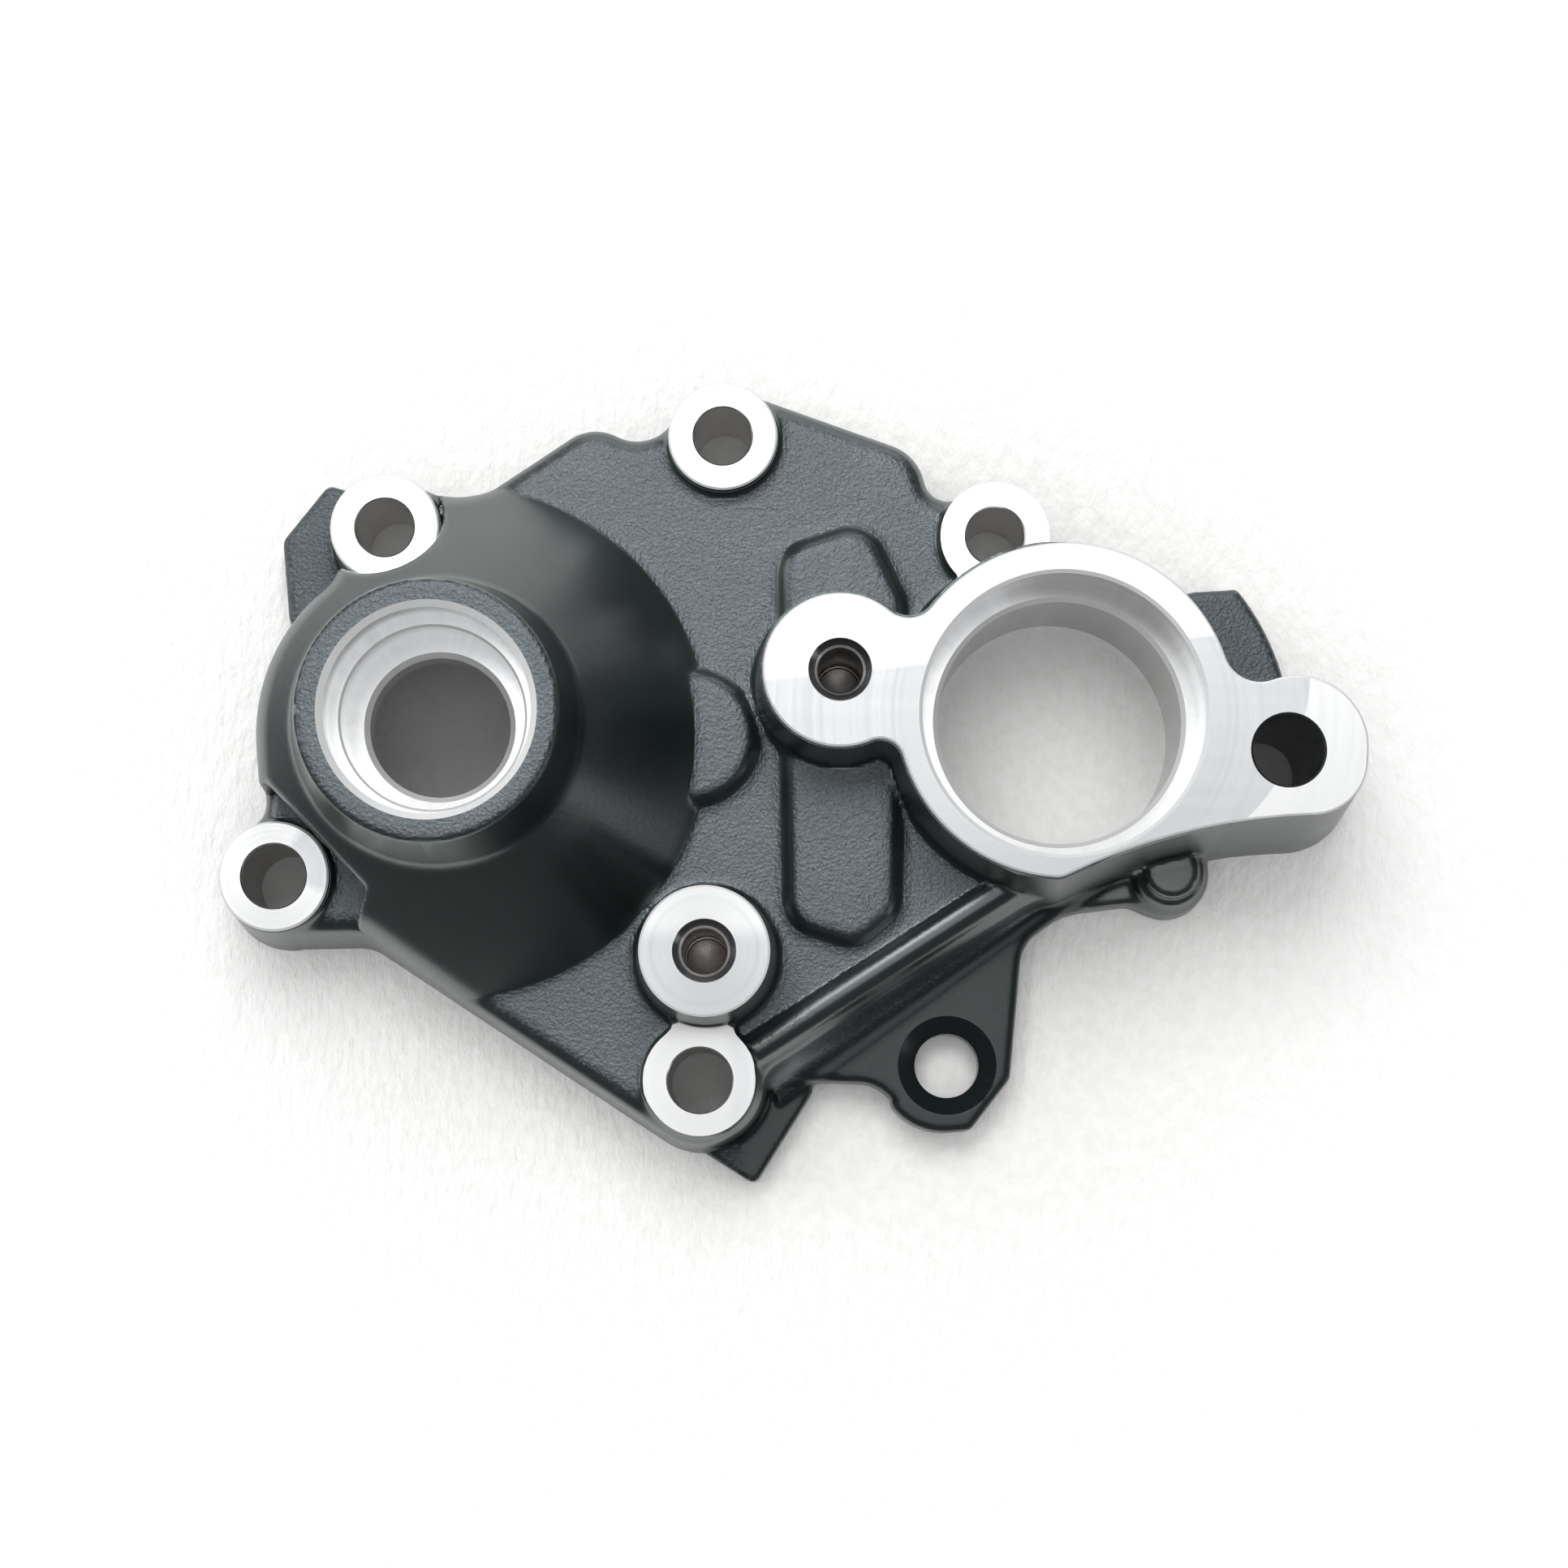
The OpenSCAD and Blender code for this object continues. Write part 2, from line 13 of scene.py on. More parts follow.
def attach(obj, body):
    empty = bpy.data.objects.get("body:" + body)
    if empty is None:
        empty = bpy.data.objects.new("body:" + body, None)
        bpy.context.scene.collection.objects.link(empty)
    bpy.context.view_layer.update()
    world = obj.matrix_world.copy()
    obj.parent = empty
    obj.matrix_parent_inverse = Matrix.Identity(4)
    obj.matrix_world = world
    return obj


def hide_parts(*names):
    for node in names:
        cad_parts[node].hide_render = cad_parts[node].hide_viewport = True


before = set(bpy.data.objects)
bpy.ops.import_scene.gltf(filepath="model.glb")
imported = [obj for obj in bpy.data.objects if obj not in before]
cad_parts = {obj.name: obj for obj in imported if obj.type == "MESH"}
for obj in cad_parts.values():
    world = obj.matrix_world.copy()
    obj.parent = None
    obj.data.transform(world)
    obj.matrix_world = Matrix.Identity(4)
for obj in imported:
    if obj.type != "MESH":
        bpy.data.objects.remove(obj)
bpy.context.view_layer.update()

MM = 0.001

# Sizes of the part, in millimetres
PANEL_Z, WALL, PANEL_T, EDGE_R, TAB_T = 13.5, 4.0, 3.5, 2.2, 5.0
DRAFT = math.tan(math.radians(4))
BOSS_Z, BOSS_R, BOLT_R, DOWEL_R, HEAD, COLUMN_WALL = 16.0, 6.15, 3.3, 3.6, 0.75, 3.1
NECK_Z, NECK_R, NECK_FLARE, NECK_EDGE, NECK_FILLET = 40.0, 14.1, 1.3, 0.6, 4.0
SEAL_R, SEAL_DEPTH, BEARING_R, BEARING_DEPTH, SHAFT_R, FLOOR_T = 11.0, 7.0, 9.9, 8.0, 7.7, 4.2
DOME_R, DOME_TOP_R, DOME_TOP_Z, DOME_WALL = 29.3, 17.5, 27.5, 3.2
FLANGE_Z, FLANGE_R, SEAT_R, SEAT_DEPTH, MAIN_R = 26.0, 18.45, 15.5, 8.0, 13.6
LEFT_R, RIGHT_R, RIGHT_HOLE_R = 8.5, 7.7, 3.9
MID_R, TAP_R, TAP_MOUTH_R, TAP_DEPTH = 7.15, 2.5, 3.5, 15.0
EAR_T, EAR_HOLE_R, EAR_SINK_R = 6.0, 3.65, 5.6
LOW_Z, LOW_R, PIP_R, PIP_H = 8.5, 3.95, 3.1, 2.0
PAD_H, PAD_SLOPE, PAD_LEAN, BEAD_R, SHANK, BEVEL = 1.8, 1.2, 0.83, 1.6, 0.3, 0.22
FLANGE_FILLET, BOSS_FILLET, PAD_FILLET, PLATE_FILLET, POCKET_FILLET = 1.5, 1.1, 0.7, 1.2, 0.9
# What will be machined is cast higher by SPARE
SPARE = 1.2
# How near to a plane, or to a turned profile, a cut's points lie
NEAR_PLANE, NEAR_PROFILE = 0.01, 0.02

MAIN, NECK = (0.0, 0.0), (-68.3, -1.45)
TL, TOP, TR, LL, BOTTOM = (-75.7, 22.45), (-37.6, 32.9), (-6.9, 21.4), (-87.6, -17.0), (-40.0, -39.7)
MID, LEFT, RIGHT, RING = (-39.3, -26.0), (-24.5, 4.8), (25.4, -3.6), (0.1, 0.4)
RIGHT_HOLE, EAR, LOW = (24.4, -4.1), (-12.2, -37.7), (13.2, -15.9)
BOLTS, BOLT_NAMES = [TL, TOP, TR, LL, BOTTOM], ("tl", "top", "tr", "ll", "bottom")
FOOT_R = BOSS_R + BOSS_Z * DRAFT
CORNER_R = FOOT_R - 0.12
LEAN = math.cos(math.atan(DRAFT))


# Outlines
def turn(a, b):
    """Direction angle of the radius at which the taut belt leaves circle a for circle b."""
    dx, dy = b[0] - a[0], b[1] - a[1]
    q = (a[2] - b[2]) / math.hypot(dx, dy)
    return math.atan2(dy, dx) - math.acos(max(-1.0, min(1.0, q)))


def belt(circles, grow=0.0, step=math.radians(3)):
    """Points of a taut belt round circles (x, y, r), anticlockwise: on each circle the arc from where the
    belt meets it to where it leaves, in equal steps. A negative r is a hollow corner."""
    points = []
    n = len(circles)
    for i, c in enumerate(circles):
        first, last = turn(circles[i - 1], c), turn(c, circles[(i + 1) % n])
        sweep = last - first
        if c[2] < 0:
            sweep -= 2 * math.pi * math.floor((sweep + math.pi) / (2 * math.pi))
        else:
            sweep -= 2 * math.pi * math.floor(sweep / (2 * math.pi))
        steps = max(1, math.ceil(abs(sweep) / step))
        a = first + sweep * np.arange(steps + 1) / steps
        points.append(np.stack([c[0] + (c[2] + grow) * np.cos(a), c[1] + (c[2] + grow) * np.sin(a)], 1))
    return np.concatenate(points)


def corner(a, b, r):
    """Hollow corner of radius r that touches circles a and b, to the right of the way from a to b."""
    dx, dy = b[0] - a[0], b[1] - a[1]
    length, ra, rb = math.hypot(dx, dy), a[2] + r, b[2] + r
    t = (length * length + ra * ra - rb * rb) / (2 * length)
    h = math.sqrt(max(0.0, ra * ra - t * t))
    ux, uy = dx / length, dy / length
    return (a[0] + ux * t + uy * h, a[1] + uy * t - ux * h, -r)


def disc(at, r):
    """Circle (x, y, r) for a belt."""
    return (at[0], at[1], r)


ring_foot = disc(RING, FLANGE_R + FLANGE_Z * DRAFT)
left_arc = disc(NECK, 22.2)
tl_foot, top_foot, tr_foot, ll_foot = (disc(p, CORNER_R) for p in (TL, TOP, TR, LL))
right_bend, left_bend = (-20.2, 27.4, 6.4), (-52.2, 29.2, 6.0)
CASE = [
    left_arc, (-92, -8.5, -2), ll_foot, (-79.7, -29, -5), disc(BOTTOM, FOOT_R + 0.6),
    (-29.7, -40.6, -2.5), disc(MAIN, MAIN_R + 2), corner(ring_foot, tr_foot, 1), tr_foot,
    corner(tr_foot, right_bend, 2), right_bend, top_foot, corner(top_foot, left_bend, 4), left_bend,
    (-67.8, 34.6, -7.2), tl_foot, corner(tl_foot, left_arc, 3),
]
flange_ring, left_lug, right_lug = disc(RING, FLANGE_R), disc(LEFT, LEFT_R), disc(RIGHT, RIGHT_R)
right_low = (RIGHT[0] + 1.5, RIGHT[1] - 1.5, RIGHT_R - 1.6)
nose_out, nose_a = FLANGE_R - 2.6, math.radians(266)
ring_nose = (RING[0] + nose_out * math.cos(nose_a), RING[1] + nose_out * math.sin(nose_a), 2.6)
FLANGE = [
    left_lug, corner(left_lug, flange_ring, 2.6), flange_ring, ring_nose, corner(ring_nose, right_low, 66),
    right_low, right_lug, corner(right_lug, flange_ring, 4), flange_ring, corner(flange_ring, left_lug, 3.2),
]
mid_disc, bottom_disc = disc(MID, MID_R), disc(BOTTOM, BOSS_R)
WEB = [bottom_disc, corner(bottom_disc, mid_disc, 2.4), mid_disc, corner(mid_disc, bottom_disc, 2.4)]
ROOM = [
    disc(LL, BOSS_R + HEAD), (-87.6, -7.6, 0.3), (LL[0] - 2 * BOSS_R, LL[1], BOSS_R),
    (LL[0], LL[1] - 2 * BOSS_R, BOSS_R), (-76.6, -19, 0.3),
]
EAR_PLATE = [
    (-33, -36.2, 3.2), (-22.4, -44.6, -4.9), (EAR[0] - 0.4, EAR[1] - 0.2, 7.4), (-10.1, -44.1, 1),
    (-5.8, -38.9, 0.8), (1.2, -26.6, -5), (4, -14, 3.5),
]
LEFT_TAB = [(-87.6, 22.6, 1.2), (-86, 14.2, 2), (-74, 10, 3), (-76, 22, 5), (-83.2, 28.2, 1.2)]
CORNER_TAB = [(-45, -40, 3.6), (-34.3, -50, 0.9), (-28.4, -40.6, 0.9), (-36, -36, 3)]
LOW_PLATE = [(-1, -14.5, 6), (8.6, -22.4, -3), disc(LOW, LOW_R + LOW_Z * DRAFT), (13.4, -8, 4.4)]
RIGHT_TAB = [(20, 2, 3), (26.6, 3.6, 1.4), (26.6, 15.6, 1.9), (17, 14.8, 2.2), (8, 9, 5)]
RIGHT_TAB_R = 27.7
LONG_PAD = [
    (-27.3, 17.4, 3.1), (-26.4, -19.4, 3.3), (-23.4, -20.6, 3.1), (-21.7, -19.2, 3.1), (-20.6, 13.6, 2.8),
    (-23.4, 18.6, 3.2),
]
HALF_PAD, HALF_PAD_R = (-41.3, -1.2), 6.9
BEAD_FROM, BEAD_TO = (-34.6, -36.6), (-6.2, -18.2)
CREASE = ((-33.4, -38.4), (-1.2, -17.7))
FOOT = ((-27.2, -39.2), (-3.0, -21.2))
CREASE_Z, SKIRT_FOOT_Z, SKIRT_HOLLOW = 11.5, EAR_T - 0.4, 1.7

# The field of the cast skin
STEP = 0.45
LOW_CORNER = np.array([-97.0, -53.0, -2.0])
HIGH_CORNER = np.array([37.5, 43.0, 41.5])
counts = np.ceil((HIGH_CORNER - LOW_CORNER) / STEP).astype(int) + 1
gx, gy, gz = (LOW_CORNER[k] + STEP * np.arange(counts[k]) for k in range(3))
PX, PY = np.meshgrid(gx, gy, indexing="ij")
Z = gz[None, None, :].astype(np.float32)


def off_outline(points, x, y, axis_open=False):
    """Signed distance from points to a closed outline, below zero inside. With axis_open, the outline's
    edges on the line x = 0 count for nothing."""
    best = np.full(x.size, 1e9)
    inside = np.zeros(x.size, bool)
    a, b = points, np.roll(points, -1, axis=0)
    for (ax, ay), (bx, by) in zip(a, b):
        ex, ey = bx - ax, by - ay
        size = ex * ex + ey * ey
        if size < 1e-12 or (axis_open and ax == bx == 0):
            continue
        t = np.clip(((x - ax) * ex + (y - ay) * ey) / size, 0, 1)
        best = np.minimum(best, (x - ax - t * ex) ** 2 + (y - ay - t * ey) ** 2)
        if ay != by:
            inside ^= ((ay > y) != (by > y)) & (x < ax + (y - ay) * ex / ey)
    return np.sqrt(best) * np.where(inside, -1.0, 1.0)


def flat(points):
    """The same for every grid column."""
    return off_outline(points, PX.ravel(), PY.ravel()).reshape(PX.shape).astype(np.float32)


def tall(d2):
    """A plan's distances, the same at every height."""
    return d2[:, :, None]


def drafted(d2, at_z):
    """Wall through an outline given at height at_z, that widens downwards by the draft."""
    return (tall(d2) + DRAFT * (Z - at_z)) * LEAN


def radius(at):
    """Distance of every grid column from an upright axis."""
    return np.hypot(PX - at[0], PY - at[1]).astype(np.float32)


def cone(at, r, at_z):
    """Drafted round column, of radius r at height at_z."""
    return drafted(radius(at) - r, at_z)


def fillet(a, b, r):
    """Union of two solids with a round fillet of radius r where they meet: r less the length of what the
    two distances lack of r, or the lesser distance where that is more than r."""
    return np.maximum(r, np.minimum(a, b)) - np.hypot(np.maximum(r - a, 0), np.maximum(r - b, 0))


def rounded(a, b, r):
    """What two solids share, with its edge rounded to radius r: the fillet's formula turned inside out."""
    return np.minimum(-r, np.maximum(a, b)) + np.hypot(np.maximum(r + a, 0), np.maximum(r + b, 0))


def turned(at, profile):
    """Solid turned about the upright axis at a point, from its closed profile of (radius, height): the
    distance is worked out once in the half plane and read off by each column's radius."""
    pitch = 0.1
    rs = np.arange(0, 60, pitch)
    r2, z2 = np.meshgrid(rs, gz, indexing="ij")
    table = off_outline(np.array(profile, float), r2.ravel(), z2.ravel(), axis_open=True)
    table = table.reshape(r2.shape).astype(np.float32)
    q = np.minimum(radius(at) / pitch, len(rs) - 2)
    i = q.astype(int)
    f = tall((q - i).astype(np.float32))
    return table[i] * (1 - f) + table[i + 1] * f


def cast_field():
    """Distance field of the casting before machining: the drafted case, turned dome and neck, flange,
    bosses, pads, bead, skirt and low plates, joined by round fillets, less the rooms for the bolt heads
    and the pocket at the back."""
    outline = flat(belt(CASE))
    case_wall = drafted(outline, 0)
    flange = np.maximum(drafted(flat(belt(FLANGE)), FLANGE_Z), Z - FLANGE_Z - SPARE)
    columns = [np.maximum(cone(p, BOSS_R, BOSS_Z), Z - BOSS_Z - SPARE) for p in BOLTS]
    mid = np.maximum(cone(MID, MID_R, FLANGE_Z), Z - FLANGE_Z - SPARE)
    web = tall(flat(belt(WEB)))

    slope = math.atan2(DOME_TOP_Z - PANEL_Z, DOME_R - DOME_TOP_R)
    centre_r = NECK_R + NECK_FLARE + NECK_FILLET
    touch_r = DOME_TOP_R + NECK_FILLET * math.sin(slope)
    centre_z = DOME_TOP_Z + NECK_FILLET * math.cos(slope) - (centre_r - touch_r) * math.tan(slope)
    low = PANEL_Z - 4
    arc = np.linspace(1.5 * math.pi - slope, math.pi, 25)
    rim = np.linspace(0, 0.5 * math.pi, 9)
    profile = [(0, low), (DOME_R + 4 / math.tan(slope), low)]
    profile += [(centre_r + NECK_FILLET * math.cos(a), centre_z + NECK_FILLET * math.sin(a)) for a in arc]
    profile += [(NECK_R + NECK_EDGE * (math.cos(a) - 1), NECK_Z + NECK_EDGE * (math.sin(a) - 1)) for a in rim]
    profile += [(0, NECK_Z)]
    dome = turned(NECK, profile)
    dome = rounded(dome, case_wall, 1.6)
    # Rooms for the bolt heads in the dome, with a small rounding at their rims and roots
    room = rounded(-tall(flat(belt(ROOM))), -(Z - PANEL_Z + 2), 0.3)
    dome = rounded(dome, room, 0.5)
    head = rounded(tall(radius(TL) - BOSS_R - HEAD), PANEL_Z - 2 - Z, 0.3)
    dome = rounded(dome, -head, 0.45)

    # The panel rises into a fillet round everything that stands on it
    top = Z - PANEL_Z + 0 * case_wall
    top = fillet(top, flange, FLANGE_FILLET)
    for c in columns:
        top = fillet(top, c, BOSS_FILLET)
    top = fillet(top, mid, BOSS_FILLET)
    over = Z - PANEL_Z - PAD_H
    for pad in (flat(belt(LONG_PAD)), radius(HALF_PAD) - HALF_PAD_R):
        raised = rounded((tall(pad) + over * PAD_SLOPE / PAD_H) * PAD_LEAN, over, 0.7)
        top = fillet(top, raised, PAD_FILLET)
    top = fillet(top, dome, 0.35)
    top = fillet(top, rounded(web, Z - BOSS_Z, 0.25), 0.8)
    body = rounded(top, case_wall, EDGE_R)
    body = np.minimum(body, dome)
    body = np.minimum(body, np.maximum(web, Z - BOSS_Z))
    body = np.minimum(body, mid)
    for c in columns:
        body = np.minimum(body, c)
    body = fillet(body, flange, 0.8)

    # Bead: a round bar along the edge of the panel
    (ax, ay), (bx, by) = BEAD_FROM, BEAD_TO
    long = math.hypot(bx - ax, by - ay)
    ux, uy = (bx - ax) / long, (by - ay) / long
    along = (PX - ax) * ux + (PY - ay) * uy
    across = (-(PX - ax) * uy + (PY - ay) * ux).astype(np.float32)
    past = np.maximum(np.maximum(-along, along - long), 0).astype(np.float32)
    bead = np.sqrt(tall(across ** 2 + past ** 2) + (Z - PANEL_Z) ** 2) - BEAD_R
    body = fillet(body, bead, 0.5)

    # Skirt: the ground falls from the crease under the bead to its foot along a hollow curve
    (cx, cy), (dx, dy) = CREASE
    (ex, ey), (fx, fy) = FOOT
    run = math.hypot(dx - cx, dy - cy)
    vx, vy = (dx - cx) / run, (dy - cy) / run
    t = ((PX - cx) * vx + (PY - cy) * vy) / run
    out = (PX - cx) * vy - (PY - cy) * vx
    width0 = (ex - cx) * vy - (ey - cy) * vx
    width1 = (fx - cx) * vy - (fy - cy) * vx
    width = np.clip(width0 + (width1 - width0) * np.clip(t, 0, 1), 1, None)
    share = np.clip(1 - out / width, 0, 1.15)
    ground = SKIRT_FOOT_Z + (CREASE_Z - SKIRT_FOOT_Z) * share ** SKIRT_HOLLOW
    fall = (CREASE_Z - SKIRT_FOOT_Z) * SKIRT_HOLLOW * share ** (SKIRT_HOLLOW - 1) / width
    ends = np.maximum(-t, t - 1) * run
    skirt = np.maximum((Z - tall(ground)) / tall(np.sqrt(1 + fall ** 2)), tall(np.maximum(out - width, ends)))
    skirt = np.maximum(skirt, tall(-out - 3)).astype(np.float32)
    body = fillet(body, skirt, 0.8)

    # Low plates, filleted against the walls behind them
    def plate(d2, height, edge, foot):
        """Plate of a given height with its edge rounded and a fillet at its foot."""
        return rounded(fillet(Z - height + 0 * case_wall, body, foot), tall(d2), edge)
    ear = flat(belt(EAR_PLATE))
    plates = [
        plate(ear, EAR_T, 0.9, 1.4),
        plate(flat(belt(LEFT_TAB)), TAB_T, 0.7, PLATE_FILLET),
        plate(fillet(flat(belt(CORNER_TAB)), ear, 1.2), TAB_T, 0.6, 1.0),
        plate(np.maximum(flat(belt(RIGHT_TAB)), radius(MAIN) - RIGHT_TAB_R), TAB_T, 0.8, PLATE_FILLET),
    ]
    low_boss = rounded(cone(LOW, LOW_R, LOW_Z), Z - LOW_Z, 0.7)
    low_plate = plate(flat(belt(LOW_PLATE)), TAB_T, 1.0, 1.6)
    low_boss = fillet(low_plate, low_boss, 1.1)
    pip = rounded(tall(radius(LOW) - PIP_R), Z - LOW_Z - PIP_H, 0.8)
    low_boss = fillet(low_boss, pip, 0.5)
    for p in plates:
        body = np.minimum(body, p)
    body = fillet(body, low_boss, 0.9)

    # Pocket at the back, up into the dome and round the columns of the bosses
    ceiling = NECK_Z - SEAL_DEPTH - BEARING_DEPTH - FLOOR_T
    high_r, high_z = DOME_TOP_R - DOME_WALL * math.sin(slope), DOME_TOP_Z - DOME_WALL * math.cos(slope)
    pocket_z = PANEL_Z - PANEL_T
    low_z = pocket_z - 3
    inner = [(0, low_z), (high_r + (high_z - low_z) / math.tan(slope), low_z),
             (high_r + (high_z - ceiling) / math.tan(slope), ceiling), (0, ceiling)]
    hollow = np.maximum(turned(NECK, inner), tall(outline + WALL + 1.2))
    hollow = np.maximum(hollow, -tall(radius(TL) - BOSS_R - HEAD - DOME_WALL))
    hollow = np.maximum(hollow, -tall(flat(belt(ROOM, DOME_WALL))))
    pocket = rounded(drafted(outline + WALL, 0), Z - pocket_z, 1.2)
    pocket = np.minimum(pocket, hollow)
    for at, r in [(TL, BOLT_R + COLUMN_WALL), (TOP, BOLT_R + COLUMN_WALL), (TR, BOLT_R + COLUMN_WALL),
                  (LL, DOWEL_R + COLUMN_WALL), (BOTTOM, DOWEL_R + COLUMN_WALL), (LEFT, TAP_R + WALL),
                  (MID, TAP_R + WALL), (MAIN, MAIN_R + WALL)]:
        pocket = rounded(pocket, -tall(radius(at) - r), POCKET_FILLET)
    body = np.maximum(body, -SPARE - Z)
    return np.maximum(body, -pocket).astype(np.float32)


def skin(field):
    """Closed quads on the zero level: one vertex in each cell that the surface passes through, put at the mean
    of its edge crossings, for settle to move along the field's slope onto the level."""
    inside = field < 0
    nx, ny, nz = field.shape
    crossings = np.zeros((nx - 1, ny - 1, nz - 1, 3), np.float32)
    number = np.zeros((nx - 1, ny - 1, nz - 1), np.uint8)
    for axis in range(3):
        other = [k for k in range(3) if k != axis]
        for i in (0, 1):
            for j in (0, 1):
                a = [slice(0, -1)] * 3
                a[other[0]] = slice(i, field.shape[other[0]] - 1 + i)
                a[other[1]] = slice(j, field.shape[other[1]] - 1 + j)
                b = list(a)
                b[axis] = slice(1, None)
                fa, fb = field[tuple(a)], field[tuple(b)]
                cross = (fa < 0) != (fb < 0)
                t = np.where(cross, fa / np.where(cross, fa - fb, 1), 0)
                number += cross
                crossings[..., axis] += np.where(cross, t, 0)
                crossings[..., other[0]] += np.where(cross, i, 0)
                crossings[..., other[1]] += np.where(cross, j, 0)
    cells = np.argwhere(number > 0)
    index = np.full(number.shape, -1, np.int64)
    index[tuple(cells.T)] = np.arange(len(cells))
    share = crossings[tuple(cells.T)] / number[tuple(cells.T)][:, None]
    grid = cells + share

    quads = []
    for axis in range(3):
        a, b = [slice(1, -1)] * 3, [slice(1, -1)] * 3
        a[axis], b[axis] = slice(0, -1), slice(1, None)
        fa, fb = inside[tuple(a)], inside[tuple(b)]
        for facing in (True, False):
            at = np.argwhere((fa != fb) & (fa == facing))
            base = at + 1
            base[:, axis] -= 1
            u, v = (axis + 1) % 3, (axis + 2) % 3
            ring = []
            for du, dv in ((0, 0), (1, 0), (1, 1), (0, 1)):
                c = base.copy()
                c[:, u] -= 1 - du
                c[:, v] -= 1 - dv
                ring.append(index[tuple(c.T)])
            q = np.stack(ring, 1)
            quads.append(q if facing else q[:, ::-1])
    return grid, np.concatenate(quads)


def sample(field, grid):
    """Trilinear value of the field at points in grid units."""
    i = np.clip(grid.astype(int), 0, np.array(field.shape) - 2)
    f = grid - i
    total = 0
    for dx in (0, 1):
        wx = f[:, 0] if dx else 1 - f[:, 0]
        for dy in (0, 1):
            wy = f[:, 1] if dy else 1 - f[:, 1]
            for dz in (0, 1):
                wz = f[:, 2] if dz else 1 - f[:, 2]
                total = total + wx * wy * wz * field[i[:, 0] + dx, i[:, 1] + dy, i[:, 2] + dz]
    return total


def settle(field, grid, rounds=2, reach=0.3, most=0.35):
    """Moves points along the field's slope, taken over reach, onto its zero level, by most at a time."""
    for _ in range(rounds):
        value = sample(field, grid)
        slope = np.stack([(sample(field, grid + e) - sample(field, grid - e)) / (2 * reach)
                          for e in reach * np.eye(3)], 1)
        size = np.maximum((slope ** 2).sum(1), 1e-6)
        move = np.clip(value / size, -most, most)[:, None] * slope
        grid = grid - np.clip(move, -most, most)
    return grid


def mesh_object(name, vertices, faces):
    """Object from arrays of vertices and equal-sized faces, in metres."""
    mesh = bpy.data.meshes.new(name)
    faces = np.asarray(faces)
    mesh.vertices.add(len(vertices))
    mesh.vertices.foreach_set("co", np.asarray(vertices, np.float32).ravel())
    mesh.loops.add(faces.size)
    mesh.loops.foreach_set("vertex_index", faces.astype(np.int32).ravel())
    mesh.polygons.add(len(faces))
    mesh.polygons.foreach_set("loop_start", np.arange(0, faces.size, faces.shape[1], dtype=np.int32))
    mesh.update(calc_edges=True)
    mesh.validate()
    ob = bpy.data.objects.new(name, mesh)
    bpy.context.scene.collection.objects.link(ob)
    return ob


# Machining
def lathe(at, profile, segments=128):
    """Closed turned cutter: (radius, height) pairs going up, each carried round the upright axis at a point
    in equal steps, with a fan of triangles at both ends."""
    a = np.arange(segments) * 2 * math.pi / segments
    v, f = [], []
    for r, z in profile:
        v.append(np.stack([at[0] + r * np.cos(a), at[1] + r * np.sin(a), np.full(segments, z)], 1))
    n = len(profile)
    v.append(np.array([[at[0], at[1], profile[0][1]], [at[0], at[1], profile[-1][1]]]))
    i = np.arange(segments)
    j = (i + 1) % segments
    for k in range(n - 1):
        lo, hi = k * segments, (k + 1) * segments
        f.append(np.stack([lo + i, lo + j, hi + j], 1))
        f.append(np.stack([lo + i, hi + j, hi + i], 1))
    f.append(np.stack([np.full(segments, n * segments), j, i], 1))
    top = (n - 1) * segments
    f.append(np.stack([np.full(segments, n * segments + 1), top + i, top + j], 1))
    return np.concatenate(v) * MM, np.concatenate(f)


def prism(points, z0, z1):
    """Closed upright prism: an anticlockwise outline carried from height z0 to z1."""
    keep = np.linalg.norm(points - np.roll(points, 1, axis=0), axis=1) > 1e-6
    p = points[keep]
    n = len(p)
    v = np.concatenate([np.c_[p, np.full(n, z0)], np.c_[p, np.full(n, z1)]]) * MM
    caps = np.array(tessellate_polygon([[Vector((x, y, 0)) for x, y in p]]))
    a, b, c = (p[caps[:, k]] for k in range(3))
    area = (b[:, 0] - a[:, 0]) * (c[:, 1] - a[:, 1]) - (b[:, 1] - a[:, 1]) * (c[:, 0] - a[:, 0])
    caps[area < 0] = caps[area < 0][:, ::-1]
    i = np.arange(n)
    j = (i + 1) % n
    sides = np.concatenate([np.stack([i, j, n + j], 1), np.stack([i, n + j, n + i], 1)])
    return v, np.concatenate([caps[:, ::-1], caps + n, sides])


def edge_tool(outline, out, z, depth):
    """Closed ring that takes a 45 degree bevel of the given depth off the top edge of an outline's wall: a
    profile of four corners, carried round the outline."""
    loops = ((-2 * depth, z + depth), (0.0, z - depth), (out, z - depth), (out, z + depth))
    points = [belt(outline, grow) for grow, _ in loops]
    n = len(points[0])
    v = np.concatenate([np.c_[p, np.full(n, height)] for p, (_, height) in zip(points, loops)]) * MM
    i = np.arange(n)
    j = (i + 1) % n
    f = []
    for k in range(4):
        a, b = k * n, (k + 1) % 4 * n
        f.append(np.stack([a + j, b + j, b + i, a + i], 1))
    quads = np.concatenate(f)
    return v, np.concatenate([quads[:, [0, 1, 2]], quads[:, [0, 2, 3]]])


def joined(parts):
    """Vertices and faces of several closed tools as one."""
    v, f, start = [], [], 0
    for pv, pf in parts:
        v.append(pv)
        f.append(pf + start)
        start += len(pv)
    return np.concatenate(v), np.concatenate(f)


def apply_modifier(ob, modifier):
    """Puts what a modifier makes of the mesh in the mesh's place."""
    dg = bpy.context.evaluated_depsgraph_get()
    done = bpy.data.meshes.new_from_object(ob.evaluated_get(dg))
    ob.modifiers.remove(modifier)
    old = ob.data
    ob.data = done
    bpy.data.meshes.remove(old)


